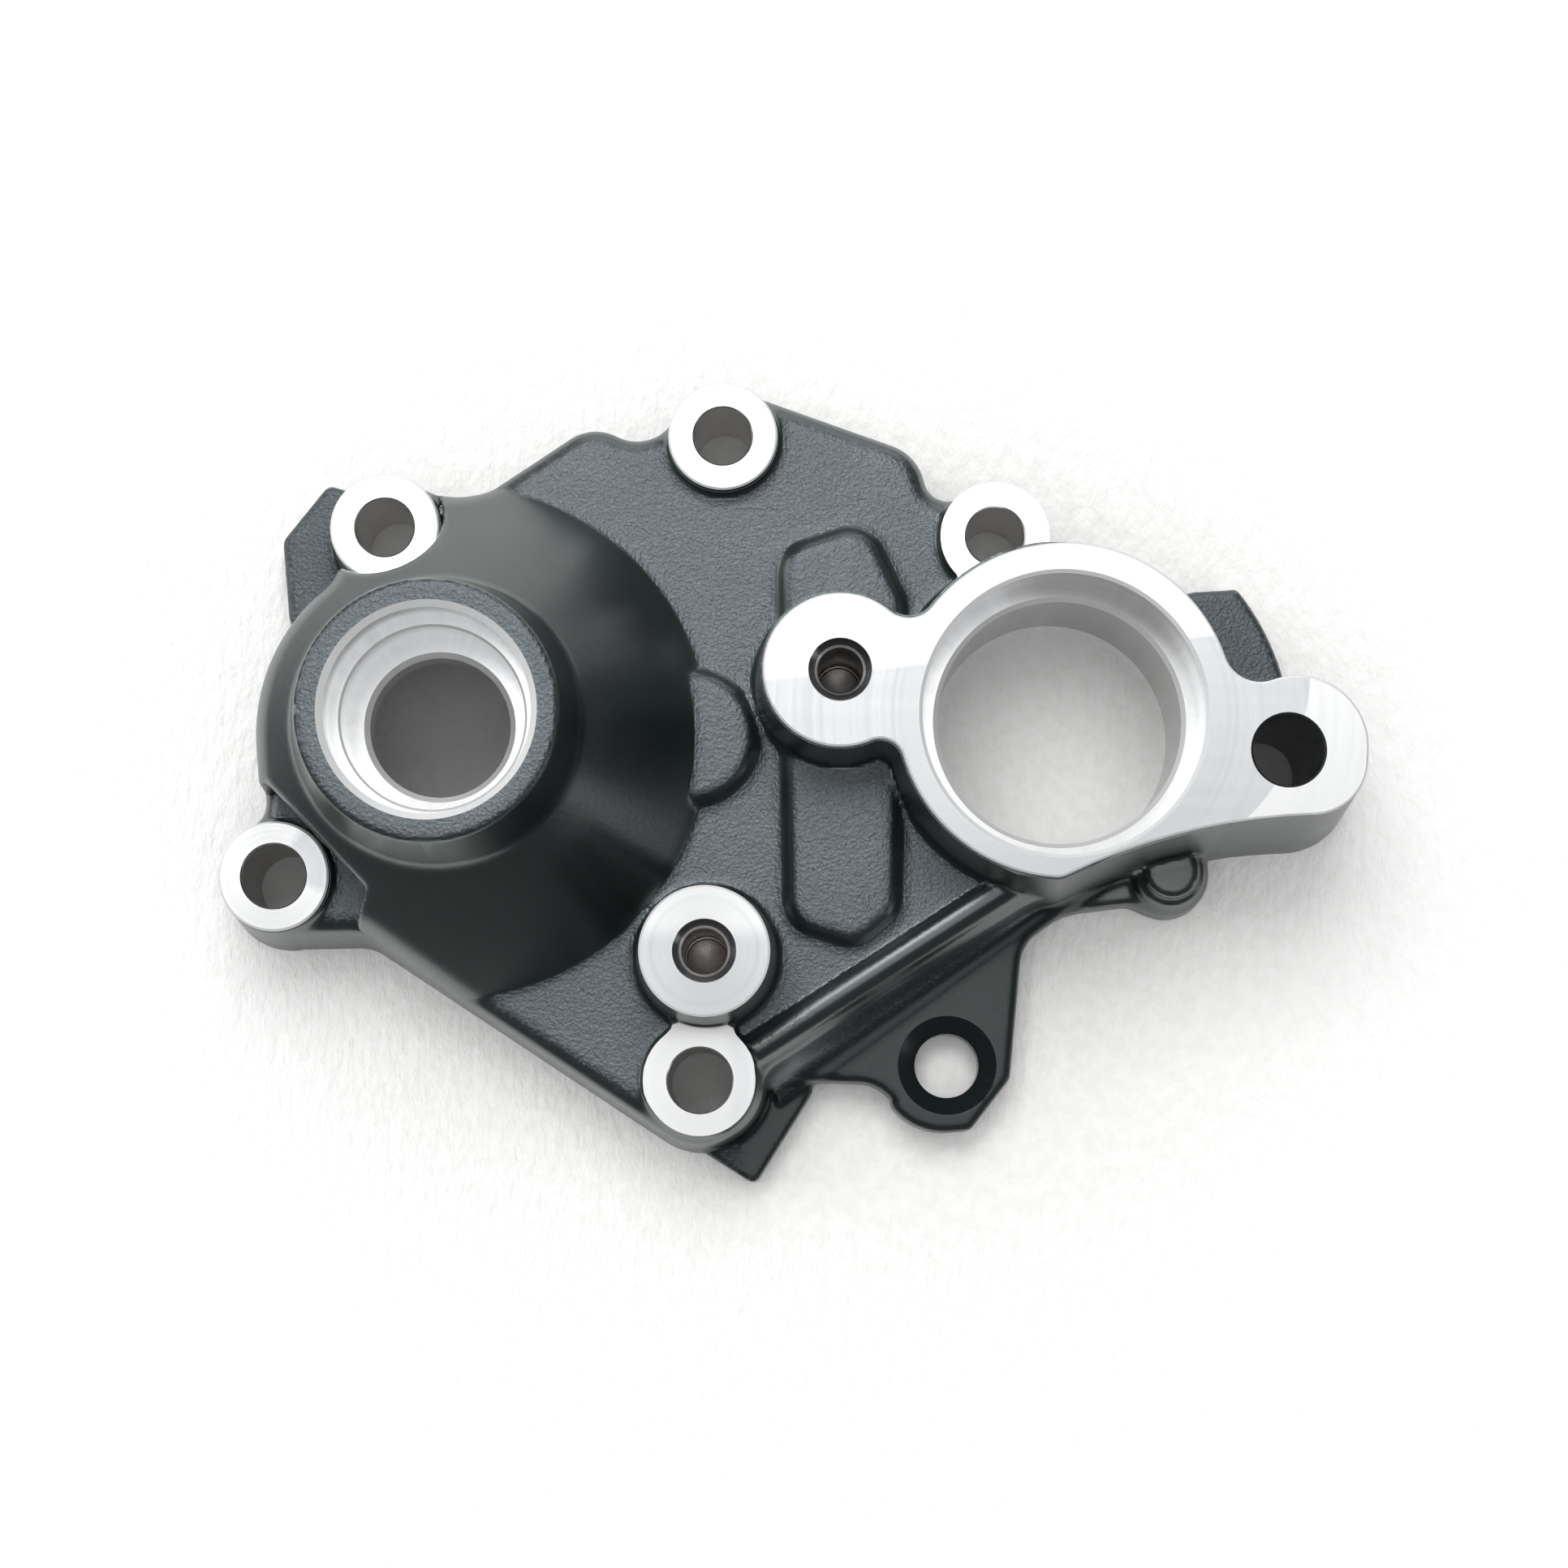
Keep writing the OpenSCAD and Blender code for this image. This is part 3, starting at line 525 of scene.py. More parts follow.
def machine(ob, parts, name):
    """Cuts closed tools that don't touch each other out of a piece."""
    tool = mesh_object(name, *joined(parts))
    cut = ob.modifiers.new(name, "BOOLEAN")
    cut.operation, cut.solver, cut.object = "DIFFERENCE", "MANIFOLD", tool
    apply_modifier(ob, cut)
    bpy.data.objects.remove(tool)


def turned_tools():
    """Profile of every turned cut: name, centre, (radius, height) pairs going up, segments."""
    seal, bearing, seat = NECK_Z - SEAL_DEPTH, NECK_Z - SEAL_DEPTH - BEARING_DEPTH, FLANGE_Z - SEAT_DEPTH
    deep, sink_foot = FLANGE_Z - TAP_DEPTH, EAR_T - EAR_SINK_R + EAR_HOLE_R
    cuts = [
        ("neck", NECK, [(SHAFT_R, 5), (SHAFT_R, bearing - 0.6), (SHAFT_R + 0.6, bearing),
                        (BEARING_R, bearing), (BEARING_R, seal - 0.25), (BEARING_R + 0.25, seal),
                        (SEAL_R, seal), (SEAL_R, NECK_Z - 0.7), (SEAL_R + 2.7, NECK_Z + 2)], 160),
        ("main", MAIN, [(MAIN_R + 1.4, -1), (MAIN_R, 0.4), (MAIN_R, seat - 0.5), (MAIN_R + 0.5, seat),
                        (SEAT_R, seat), (SEAT_R, FLANGE_Z - 0.4), (SEAT_R + 2.0, FLANGE_Z + 1.6)], 200),
        ("lug", RIGHT_HOLE, [(RIGHT_HOLE_R + 1.3, -1), (RIGHT_HOLE_R, 0.3),
                             (RIGHT_HOLE_R, FLANGE_Z - 0.25), (RIGHT_HOLE_R + 1.25, FLANGE_Z + 1)], 96),
        ("ear", EAR, [(EAR_HOLE_R + 1.3, -1), (EAR_HOLE_R, 0.3), (EAR_HOLE_R, sink_foot),
                      (EAR_SINK_R + 1.5, EAR_T + 1.5)], 96),
    ]
    for name, at, r in zip(BOLT_NAMES, BOLTS, (BOLT_R, BOLT_R, BOLT_R, DOWEL_R, DOWEL_R)):
        mouth = [(r + 1.15, BOSS_Z + 1)]
        if name == "tr":
            # Here the cut runs on as a groove for the bolt's shank in the foot of the flange's wall
            mouth = [(r + 0.15, BOSS_Z), (r + SHANK, BOSS_Z), (r + SHANK, NECK_Z)]
        cuts.append((name, at, [(r + 1.3, -1), (r, 0.3), (r, BOSS_Z - 0.15)] + mouth, 96))
    for name, at in (("mid", MID), ("left", LEFT)):
        cuts.append((name, at, [(0.05, deep - 1.4), (TAP_R, deep), (TAP_R, FLANGE_Z - TAP_MOUTH_R + TAP_R),
                                (TAP_MOUTH_R + 1, FLANGE_Z + 1)], 96))
    return cuts


def off_profile(p, at, profile):
    """Distance of points from a turned profile, in millimetres."""
    r, z = np.hypot(p[:, 0] - at[0], p[:, 1] - at[1]), p[:, 2]
    best = np.full(len(p), 1e9)
    for (ar, az), (br, bz) in zip(profile[:-1], profile[1:]):
        er, ez = br - ar, bz - az
        t = np.clip(((r - ar) * er + (z - az) * ez) / (er * er + ez * ez), 0, 1)
        best = np.minimum(best, np.hypot(r - ar - t * er, z - az - t * ez))
    return best


def face_facts(mesh):
    """Vertices in millimetres, each face's centre, normal and first loop, and the loops' vertices."""
    v = np.empty(3 * len(mesh.vertices), np.float32)
    mesh.vertices.foreach_get("co", v)
    n = len(mesh.polygons)
    centre, normal = np.empty(3 * n, np.float32), np.empty(3 * n, np.float32)
    start, loops = np.empty(n, np.int32), np.empty(len(mesh.loops), np.int32)
    mesh.polygons.foreach_get("center", centre)
    mesh.polygons.foreach_get("normal", normal)
    mesh.polygons.foreach_get("loop_start", start)
    mesh.loops.foreach_get("vertex_index", loops)
    return v.reshape(-1, 3) / MM, centre.reshape(-1, 3) / MM, normal.reshape(-1, 3), start, loops


def all_of(flags, start, loops):
    """True for each face whose vertices are all flagged."""
    return np.minimum.reduceat(flags[loops].astype(np.int8), start) > 0


def clipped(at, r, wall_at, wall_r):
    """Outline of a circle less the circle of a wall that stands in it."""
    gap = math.hypot(wall_at[0] - at[0], wall_at[1] - at[1])
    to_wall = math.atan2(wall_at[1] - at[1], wall_at[0] - at[0])
    open_a = math.acos((gap ** 2 + r ** 2 - wall_r ** 2) / (2 * gap * r))
    back_a = math.acos((gap ** 2 + wall_r ** 2 - r ** 2) / (2 * gap * wall_r))
    big = to_wall + np.linspace(open_a, 2 * math.pi - open_a, 80)
    small = to_wall + math.pi + np.linspace(back_a, -back_a, 24)[1:-1]
    return np.concatenate([
        np.stack([at[0] + r * np.cos(big), at[1] + r * np.sin(big)], 1),
        np.stack([wall_at[0] + wall_r * np.cos(small), wall_at[1] + wall_r * np.sin(small)], 1),
    ])


def thinned(ob, share):
    """Collapses the edges that matter least, mostly where the skin is flat, down to a share of its
    triangles."""
    cut = ob.modifiers.new("thin", "DECIMATE")
    cut.ratio = share
    apply_modifier(ob, cut)


def machined_cover():
    """The cast skin, cut by the face tools, the bevel's ring, the bores and the mating plane in turn."""
    field = cast_field()
    grid, quads = skin(field)
    grid = settle(field, grid)
    ob = mesh_object("cast_cover", (LOW_CORNER + grid * STEP) * MM, quads)
    thinned(ob, 0.4)

    face, edge_r = BOSS_R + HEAD - 0.05, BOSS_R + 0.03
    boss_top, flange_top = BOSS_Z + 2.2, FLANGE_Z + 3
    drop = (FLANGE_Z - BOSS_Z) * DRAFT + 0.05
    # Round the spot faces the cast metal is cleared down to the panel's fillet
    foot = PANEL_Z + 1.2
    spot = [(BOSS_R - BEVEL, BOSS_Z), (edge_r, BOSS_Z - BEVEL), (edge_r, foot), (face, foot), (face, boss_top)]
    mid_face = [(MID_R - BEVEL, FLANGE_Z), (MID_R + 0.03, FLANGE_Z - BEVEL), (MID_R + 1.2, FLANGE_Z - BEVEL),
                (MID_R + 1.2, flange_top)]
    tools = [lathe(p, spot, 96) for p in (TL, TOP, LL)]
    # The tool for the upper right boss stops at the flange's wall, the bottom one at the middle boss
    tools += [
        prism(clipped(TR, face, RING, FLANGE_R + drop), BOSS_Z, boss_top),
        prism(belt(FLANGE, 1.4), FLANGE_Z, flange_top),
        lathe(MID, mid_face, 96),
        prism(clipped(BOTTOM, face, MID, MID_R + drop), BOSS_Z, boss_top),
    ]
    machine(ob, tools, "face_tools")
    machine(ob, [edge_tool(FLANGE, 1.6, FLANGE_Z, BEVEL)], "edge_tool")
    machine(ob, [lathe(at, profile, segments) for _, at, profile, segments in turned_tools()], "bore_tools")
    box = belt([(-98, -54, 0.01), (39, -54, 0.01), (39, 44, 0.01), (-98, 44, 0.01)], 0, 3)
    machine(ob, [prism(box, -5, 0)], "mating_plane")
    return ob


cover = machined_cover()
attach(cover, "root")
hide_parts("cover")


# Material networks
def put(tree, kind, inputs=None, **settings):
    """Adds a node, with its settings and its inputs given as values or as other nodes' sockets."""
    n = tree.nodes.new(kind)
    for key, value in settings.items():
        setattr(n, key, value)
    for key, value in (inputs or {}).items():
        if isinstance(value, bpy.types.NodeSocket):
            tree.links.new(value, n.inputs[key])
        else:
            n.inputs[key].default_value = value
    return n


def calc(tree, operation, *values, clamp=False):
    """A sum on values or sockets."""
    n = put(tree, "ShaderNodeMath", dict(enumerate(values)), operation=operation, use_clamp=clamp)
    return n.outputs[0]


def vector(tree, operation, *values):
    """A sum on vectors."""
    n = put(tree, "ShaderNodeVectorMath", dict(enumerate(values)), operation=operation)
    return n.outputs["Value"] if operation in ("LENGTH", "DOT_PRODUCT", "DISTANCE") else n.outputs[0]


def ramp(tree, value, low, high, to_low=0.0, to_high=1.0):
    """Smooth step of a value from low to high."""
    return put(tree, "ShaderNodeMapRange", {0: value, 1: low, 2: high, 3: to_low, 4: to_high},
               interpolation_type="SMOOTHSTEP").outputs[0]


def blend(tree, share, a, b):
    """Colour between a and b."""
    n = put(tree, "ShaderNodeMix", data_type="RGBA", blend_type="MIX")
    for socket, value in ((n.inputs[0], share), (n.inputs[6], a), (n.inputs[7], b)):
        if isinstance(value, bpy.types.NodeSocket):
            tree.links.new(value, socket)
        else:
            socket.default_value = value
    return n.outputs[2]


def noise(tree, at, scale, detail=2.0, rough=0.5):
    """Cloudy value of about 0.5 at a point, with scale clouds in a unit of it."""
    settings = {"Vector": at, "Scale": scale, "Detail": detail, "Roughness": rough}
    return put(tree, "ShaderNodeTexNoise", settings).outputs[0]


def place_in_mm(tree):
    """The point on the piece, in millimetres."""
    co = put(tree, "ShaderNodeTexCoord").outputs["Object"]
    return put(tree, "ShaderNodeVectorMath", {0: co, 3: 1000.0}, operation="SCALE").outputs[0]


def coordinate(tree, point, k):
    """One coordinate of a point."""
    return put(tree, "ShaderNodeSeparateXYZ", {0: point}).outputs[k]


def new_material(name):
    """Material with its tree and its shader."""
    m = bpy.data.materials.new(name)
    m.use_nodes = True
    return m, m.node_tree, m.node_tree.nodes["Principled BSDF"]


def bump(tree, height, depth):
    """Normal of a relief, depth millimetres deep where the height is 1."""
    return put(tree, "ShaderNodeBump", {"Height": height, "Distance": depth * MM, "Strength": 1.0}).outputs[0]


def effect(build, inputs, outputs):
    """Node group of an effect that several materials share. Its inputs and outputs are named in order, each
    a number unless its kind follows a colon. build takes the tree and inputs and gives the outputs."""
    g = bpy.data.node_groups.new(build.__name__, "ShaderNodeTree")
    for way, names in (("INPUT", inputs), ("OUTPUT", outputs)):
        for name, _, kind in (entry.partition(":") for entry in names.split()):
            g.interface.new_socket(name, in_out=way, socket_type="NodeSocket" + (kind or "Float"))
    given, out = put(g, "NodeGroupInput").outputs[:len(inputs.split())], put(g, "NodeGroupOutput")
    for socket, value in zip(out.inputs, build(g, *given)):
        g.links.new(value, socket)
    return g


def use(tree, group, **inputs):
    """Places an effect in a material, with its inputs given as values or sockets, and gives its outputs."""
    return put(tree, "ShaderNodeGroup", inputs, node_tree=group).outputs


# Painted tones of bare metal: a bright painted reflection facing the light, a duller one turned from it,
# and painted shade down a drilled hole, down the tapped and the upper bolt holes, and in a
# countersink
SILVER, DULL, DEEP = (0.80, 0.805, 0.81, 1), (0.56, 0.575, 0.59, 1), (0.30, 0.29, 0.28, 1)
MID_DEEP, LEFT_DEEP, BOLT_DEEP = (0.44, 0.42, 0.405, 1), (0.34, 0.33, 0.32, 1), (0.64, 0.63, 0.61, 1)
SINK = (0.16, 0.16, 0.165, 1)
# Slots of the materials that come first on the piece
COAT, FLANGE_FACE, MATING_FACE, RIM = range(4)


# Effects
def turning_marks(g, point, centre):
    """Marks that a turning or facing tool leaves round a centre: fine grooves that follow circles and a slow
    change of sheen from ring to ring, both noise of the radius and height alone."""
    arm = vector(g, "SUBTRACT", point, centre)
    flat_arm = vector(g, "MULTIPLY", arm, (1, 1, 0))
    r = vector(g, "LENGTH", flat_arm)
    line = put(g, "ShaderNodeCombineXYZ", {0: r, 1: coordinate(g, arm, 2)}).outputs[0]
    xyz = put(g, "ShaderNodeSeparateXYZ", {0: flat_arm})
    angle = calc(g, "ARCTAN2", xyz.outputs[1], xyz.outputs[0])
    return noise(g, line, 9.0, 3.0, 0.7), noise(g, line, 1.3, 2.0, 0.5), angle, r


def bare_finish(g, tone, sheen, rough):
    """Colour between the two painted tones of bare metal, bright and dull reflection, and roughness, both
    changed a little from ring to ring.
    """
    tone = calc(g, "ADD", tone, calc(g, "MULTIPLY", calc(g, "SUBTRACT", sheen, 0.5), 0.25), clamp=True)
    return blend(g, tone, DULL, SILVER), calc(g, "ADD", rough, calc(g, "MULTIPLY", sheen, 0.14))


def hole_shade(g, z, begin, end, colour, deep):
    """Painted shade down a drilled hole: metal that turns to the deep tone between two heights."""
    return (blend(g, ramp(g, z, begin, end), colour, deep),)


def tapped_thread(g, z, r, angle, colour, height):
    """Colour and relief of a tapped hole: grooves that climb 1 mm in each turn, a painted highlight in a
    bright ring where they start and painted shade on the countersink above."""
    climb = calc(g, "DIVIDE", angle, 2 * math.pi)
    groove = calc(g, "ABSOLUTE", calc(g, "SUBTRACT", calc(g, "FRACT", calc(g, "ADD", z, climb)), 0.5))
    on_wall = calc(g, "SUBTRACT", ramp(g, r, TAP_R - 0.3, TAP_R - 0.1), ramp(g, r, TAP_R + 0.04, TAP_R + 0.1))
    depth = calc(g, "MULTIPLY", ramp(g, z, FLANGE_Z - 1.0, FLANGE_Z - 1.4, 0, 32.0), on_wall)
    height = calc(g, "ADD", calc(g, "MULTIPLY", groove, depth), height)
    below = ramp(g, z, FLANGE_Z - 0.02, FLANGE_Z - 0.1)
    # Painted highlight on the ring at the mouth, and painted shade on the countersink round it
    ring = calc(g, "MULTIPLY", ramp(g, r, TAP_R + 0.02, TAP_R + 0.1), below)
    sink = calc(g, "MULTIPLY", ramp(g, r, TAP_R + 0.22, TAP_R + 0.36), below)
    return blend(g, sink, blend(g, ring, colour, SILVER), SINK), height


def bore_painted_shade_and_streaks(g, z, angle, dim):
    """Walls of the bores: painted shade round the far (+y) side, where they turn away from the light, with
    upright painted streaks of reflection in the look of the tool's chatter."""
    tone = ramp(g, calc(g, "SINE", angle), 0.2, 0.9, 0.95, dim)
    round_it, down_it = calc(g, "MULTIPLY", angle, 7.0), calc(g, "MULTIPLY", z, 0.12)
    wall = put(g, "ShaderNodeCombineXYZ", {0: round_it, 2: down_it}).outputs[0]
    streak = calc(g, "SUBTRACT", noise(g, wall, 1.0, 3.0, 0.7), 0.5)
    return (calc(g, "MULTIPLY_ADD", streak, 0.9, tone),)


def painted_reflection_sector(g, angle, middle, outer, inner, dim):
    """Painted reflection: bright but for one sector, painted dim where the tool's marks would turn the light
    away. outer and inner are the cosines of the angles off its middle between which it dims."""
    c = calc(g, "COSINE", calc(g, "SUBTRACT", angle, middle))
    return (ramp(g, c, outer, inner, 0.95, dim),)


def painted_reflection_passes(g, point):
    """Painted reflection in three passes of the face mill: bright above a slightly rising line and right
    of an arc.
    """
    x, y = coordinate(g, point, 0), coordinate(g, point, 1)
    line = calc(g, "SUBTRACT", y, calc(g, "MULTIPLY_ADD", x, 0.1, 6.9))
    above = ramp(g, line, -0.25, 0.25)
    right = ramp(g, vector(g, "DISTANCE", vector(g, "MULTIPLY", point, (1, 1, 0)), (4, 5, 0)), 22.75, 22.95)
    right = calc(g, "MULTIPLY", right, ramp(g, x, 8.0, 10.0))
    bands = calc(g, "MULTIPLY", noise(g, vector(g, "MULTIPLY", point, (0.05, 0.6, 0)), 1.0), 0.28)
    return (calc(g, "ADD", calc(g, "MAXIMUM", above, right), bands, clamp=True),)


def powder_coat(g, point, grain, wear):
    """Colour, roughness and relief of the coat: fine-grained and specked where grain is 1, smoother where
    it is 0, and a little rubbed and glossier by wear."""
    fine, pebble = noise(g, point, 2.6, 2.5, 0.6), noise(g, point, 1.2, 1.0, 0.5)
    slow = noise(g, point, 0.11, 2.0, 0.5)
    ground = blend(g, grain, (0.0060, 0.0095, 0.0098, 1), (0.0125, 0.0155, 0.0190, 1))
    speck = calc(g, "MULTIPLY", ramp(g, fine, 0.50, 0.70), calc(g, "MULTIPLY_ADD", grain, 0.85, 0.04))
    colour = blend(g, speck, ground, (0.075, 0.082, 0.092, 1))
    colour = blend(g, calc(g, "MULTIPLY", wear, 0.35), colour, (0.055, 0.056, 0.058, 1))
    rough = calc(g, "MULTIPLY_ADD", grain, 0.14, 0.31)
    rough = calc(g, "ADD", rough, calc(g, "MULTIPLY", calc(g, "SUBTRACT", slow, 0.5), 0.12))
    rough = calc(g, "SUBTRACT", rough, calc(g, "MULTIPLY", wear, 0.05))
    height = calc(g, "ADD", calc(g, "MULTIPLY", fine, calc(g, "MULTIPLY_ADD", grain, 0.9, 0.10)),
                  calc(g, "MULTIPLY", pebble, calc(g, "MULTIPLY_ADD", grain, 0.45, 0.05)))
    return colour, rough, height


TURNING = effect(turning_marks, "Point:Vector Centre:Vector", "Height Sheen Angle Radius")
FINISH = effect(bare_finish, "Tone Sheen Roughness", "Colour:Color Roughness")
HOLE = effect(hole_shade, "Height Begin End Colour:Color Deep:Color", "Colour:Color")
THREAD = effect(tapped_thread, "Height Radius Angle Colour:Color Relief", "Colour:Color Relief")
BORE_SHADE_AND_STREAKS = effect(bore_painted_shade_and_streaks, "Height Angle Dim", "Tone")
SECTOR = effect(painted_reflection_sector, "Angle Middle Outer Inner Dim", "Tone")
REFLECTION_PASSES = effect(painted_reflection_passes, "Point:Vector", "Tone")
POWDER = effect(powder_coat, "Point:Vector Grain Wear", "Colour:Color Roughness Height")


# Materials
def bare_metal(name, at, sheen, thread=False, deep=DEEP, floor_z=None, rough=0.15, shade=None, metallic=1.0):
    """Machined aluminium round a centre. sheen builds, from the tree, the point and the marks, the share of
    the brighter of two tones. Below floor_z the metal has the deep tone, as down a drilled hole, and shade
    builds a further share of that tone."""
    m, t, b = new_material(name)
    point, centre = place_in_mm(t), (at[0], at[1], 0)
    marks = use(t, TURNING, Point=point, Centre=centre)
    z, height = coordinate(t, point, 2), marks["Height"]
    colour, roughness = use(t, FINISH, Tone=sheen(t, point, marks), Sheen=marks["Sheen"], Roughness=rough)
    if floor_z is not None:
        colour = use(t, HOLE, Height=z, Begin=floor_z - 0.05, End=floor_z - 0.5, Colour=colour, Deep=deep)[0]
    if shade is not None:
        colour = blend(t, shade(t, point), colour, deep)
    if thread:
        colour, height = use(t, THREAD, Height=z, Radius=marks["Radius"], Angle=marks["Angle"],
                             Colour=colour, Relief=height)
    t.links.new(colour, b.inputs["Base Color"])
    t.links.new(roughness, b.inputs["Roughness"])
    t.links.new(bump(t, height, 0.006), b.inputs["Normal"])
    # The grooves run square to the arm from the centre
    arm = vector(t, "MULTIPLY", vector(t, "SUBTRACT", point, centre), (1, 1, 0))
    t.links.new(vector(t, "CROSS_PRODUCT", (0, 0, 1), arm), b.inputs["Tangent"])
    b.inputs["Metallic"].default_value = metallic
    b.inputs["Anisotropic"].default_value = 0.4
    return m


def even(level):
    """The same share of the bright tone all over."""
    return lambda t, point, marks: level


def bore_sheen(dim):
    """Painted shade on a bore's wall, down to a given share of the bright tone on its duller side."""
    def build(t, point, marks):
        return use(t, BORE_SHADE_AND_STREAKS, Height=coordinate(t, point, 2), Angle=marks["Angle"], Dim=dim)[0]
    return build


def sector(middle, half, dim):
    """Painted reflection, dim over a sector of half as many degrees to either side of its middle, fading over
    16 more.
    """
    def build(t, point, marks):
        return use(t, SECTOR, Angle=marks["Angle"], Middle=math.radians(middle),
                   Outer=math.cos(math.radians(half + 16)), Inner=math.cos(math.radians(half)), Dim=dim)[0]
    return build


def flange_painted_reflection(t, point, marks):
    """Painted reflection in the passes of the face mill."""
    return use(t, REFLECTION_PASSES, Point=point)[0]


def mid_sheen(t, point, marks):
    """Painted reflection, bright in its upper half only."""
    return ramp(t, coordinate(t, point, 1), MID[1] + 0.6, MID[1] + 3.4, 0.16, 0.97)


def bottom_sheen(t, point, marks):
    """Painted reflection, bright, a little less so to the right."""
    return ramp(t, coordinate(t, point, 0), BOTTOM[0] + 2.4, BOTTOM[0] + 4.4, 1.0, 0.7)


def seat_shade(t, point):
    """Painted shade: darker below the seat, and on the seat's wall a painted reflection of the dim side of the
    room.
    """
    dim_way, seat = 1.25, FLANGE_Z - SEAT_DEPTH
    toward = vector(t, "DOT_PRODUCT", point, (math.cos(dim_way), math.sin(dim_way), 0))
    dim_side = ramp(t, calc(t, "DIVIDE", toward, SEAT_R), 0.62, 0.93, 0.0, 0.62)
    below = ramp(t, coordinate(t, point, 2), seat - 0.1, seat - 0.5, 0.0, 0.42)
    return calc(t, "MAXIMUM", dim_side, below)


def web_shade(t, point):
    """Painted shade: darker where the web runs up to the middle boss."""
    return ramp(t, coordinate(t, point, 1), BOTTOM[1] + 3.8, BOTTOM[1] + 7.6, 0.0, 0.8)


def coat_material(name, level):
    """Black powder coat, grained and worn by the piece's own shares, which on the skirt also carry a painted
    sheen. level is how strongly it mirrors.
    """
    m, t, b = new_material(name)
    grain = put(t, "ShaderNodeAttribute", attribute_name="grain").outputs["Fac"]
    wear = put(t, "ShaderNodeAttribute", attribute_name="edge").outputs["Fac"]
    colour, roughness, height = use(t, POWDER, Point=place_in_mm(t), Grain=grain, Wear=wear)
    t.links.new(colour, b.inputs["Base Color"])
    t.links.new(roughness, b.inputs["Roughness"])
    t.links.new(bump(t, height, 0.13), b.inputs["Normal"])
    b.inputs["Specular IOR Level"].default_value = level
    t.links.new(blend(t, grain, (0.92, 1.0, 0.99, 1), (0.84, 0.94, 1.0, 1)), b.inputs["Specular Tint"])
    b.inputs["IOR"].default_value = 1.76
    return m


def give_materials(mesh, v, c, normal, start, loops):
    """Puts every face in a material's slot, by the plane, bevel or turned profile that its corners lie on."""
    # Painted reflection of each turned material as its share of the bright tone, and painted shade as its deep
    # tone and further shade
    sheens = {
        "neck": bore_sheen(0.65), "main": bore_sheen(0.35), "tl": even(0.55), "top": even(0.55),
        "tr": sector(38, 26, 0.1), "ll": sector(22, 30, 0.12), "bottom": bottom_sheen, "mid": mid_sheen,
        "left": flange_painted_reflection,
    }
    deeps = {"mid": MID_DEEP, "left": LEFT_DEEP, "tl": BOLT_DEEP, "top": BOLT_DEEP, "tr": BOLT_DEEP}
    shades = {"bottom": web_shade, "main": seat_shade}
    materials = [
        coat_material("black_coat", 1.0), bare_metal("flange_face", MAIN, flange_painted_reflection),
        bare_metal("mating_face", MAIN, even(0.92)),
        bare_metal("bevel", MAIN, even(0.92), rough=0.45, metallic=0.35),
    ]
    part = np.full(len(c), COAT, np.int32)
    up, slanted = normal[:, 2] > 0.999, (normal[:, 2] > 0.5) & (normal[:, 2] < 0.95)

    def on_plane(z):
        return all_of(np.abs(v[:, 2] - z) < NEAR_PLANE, start, loops)

    def on_bevel(z):
        between = (v[:, 2] > z - BEVEL - NEAR_PLANE) & (v[:, 2] < z + NEAR_PLANE)
        return all_of(between, start, loops) & slanted

    high, low = on_plane(FLANGE_Z) & up, on_plane(BOSS_Z) & up
    part[high] = FLANGE_FACE
    part[on_bevel(FLANGE_Z)] = RIM
    part[on_plane(0) & (normal[:, 2] < -0.999)] = MATING_FACE
    for name, at, profile, _ in turned_tools():
        if name not in sheens:
            continue
        index, tapped = len(materials), name in ("mid", "left")
        floor_z = None if name in ("neck", "main") else (FLANGE_Z if tapped else BOSS_Z) - 0.3
        materials.append(bare_metal("turned_" + name, at, sheens[name], tapped, deeps.get(name, DEEP),
                                    floor_z, shade=shades.get(name)))
        part[all_of(off_profile(v, at, profile) < NEAR_PROFILE, start, loops)] = index
        near = np.hypot(c[:, 0] - at[0], c[:, 1] - at[1])
        if name in ("tl", "top", "ll"):
            part[on_bevel(BOSS_Z) & (np.abs(near - BOSS_R) < 0.3)] = RIM
        if name in BOLT_NAMES:
            part[low & (near < (11 if name == "bottom" else BOSS_R + 0.03))] = index
        if name == "mid":
            part[high & (near < 9)] = index
        if name in ("neck", "main"):
            # Chamfers at the mouths and shoulders, left rougher by the tool's corner
            part[(part == index) & (np.abs(normal[:, 2]) > 0.3) & (normal[:, 2] < 0.95)] = RIM

    # A duller coat on the low plates, that mirrors less
    thin, tab = len(materials), len(materials) + 1
    materials += [coat_material("black_coat_dull", 0.38), coat_material("black_coat_tab", 0.72)]
    for outline, height, index in ((EAR_PLATE, EAR_T, thin), (CORNER_TAB, TAB_T, thin),
                                   (RIGHT_TAB, TAB_T, tab), (LEFT_TAB, TAB_T, tab)):
        near = off_outline(belt(outline), c[:, 0], c[:, 1])
        part[(part == COAT) & (near < 0.8) & (c[:, 2] < height + 0.7)] = index
    mesh.materials.clear()
    for m in materials:
        mesh.materials.append(m)
    mesh.polygons.foreach_set("material_index", part)
    mesh.polygons.foreach_set("use_smooth", np.ones(len(c), bool))
    mesh.set_sharp_from_angle(angle=math.radians(38))


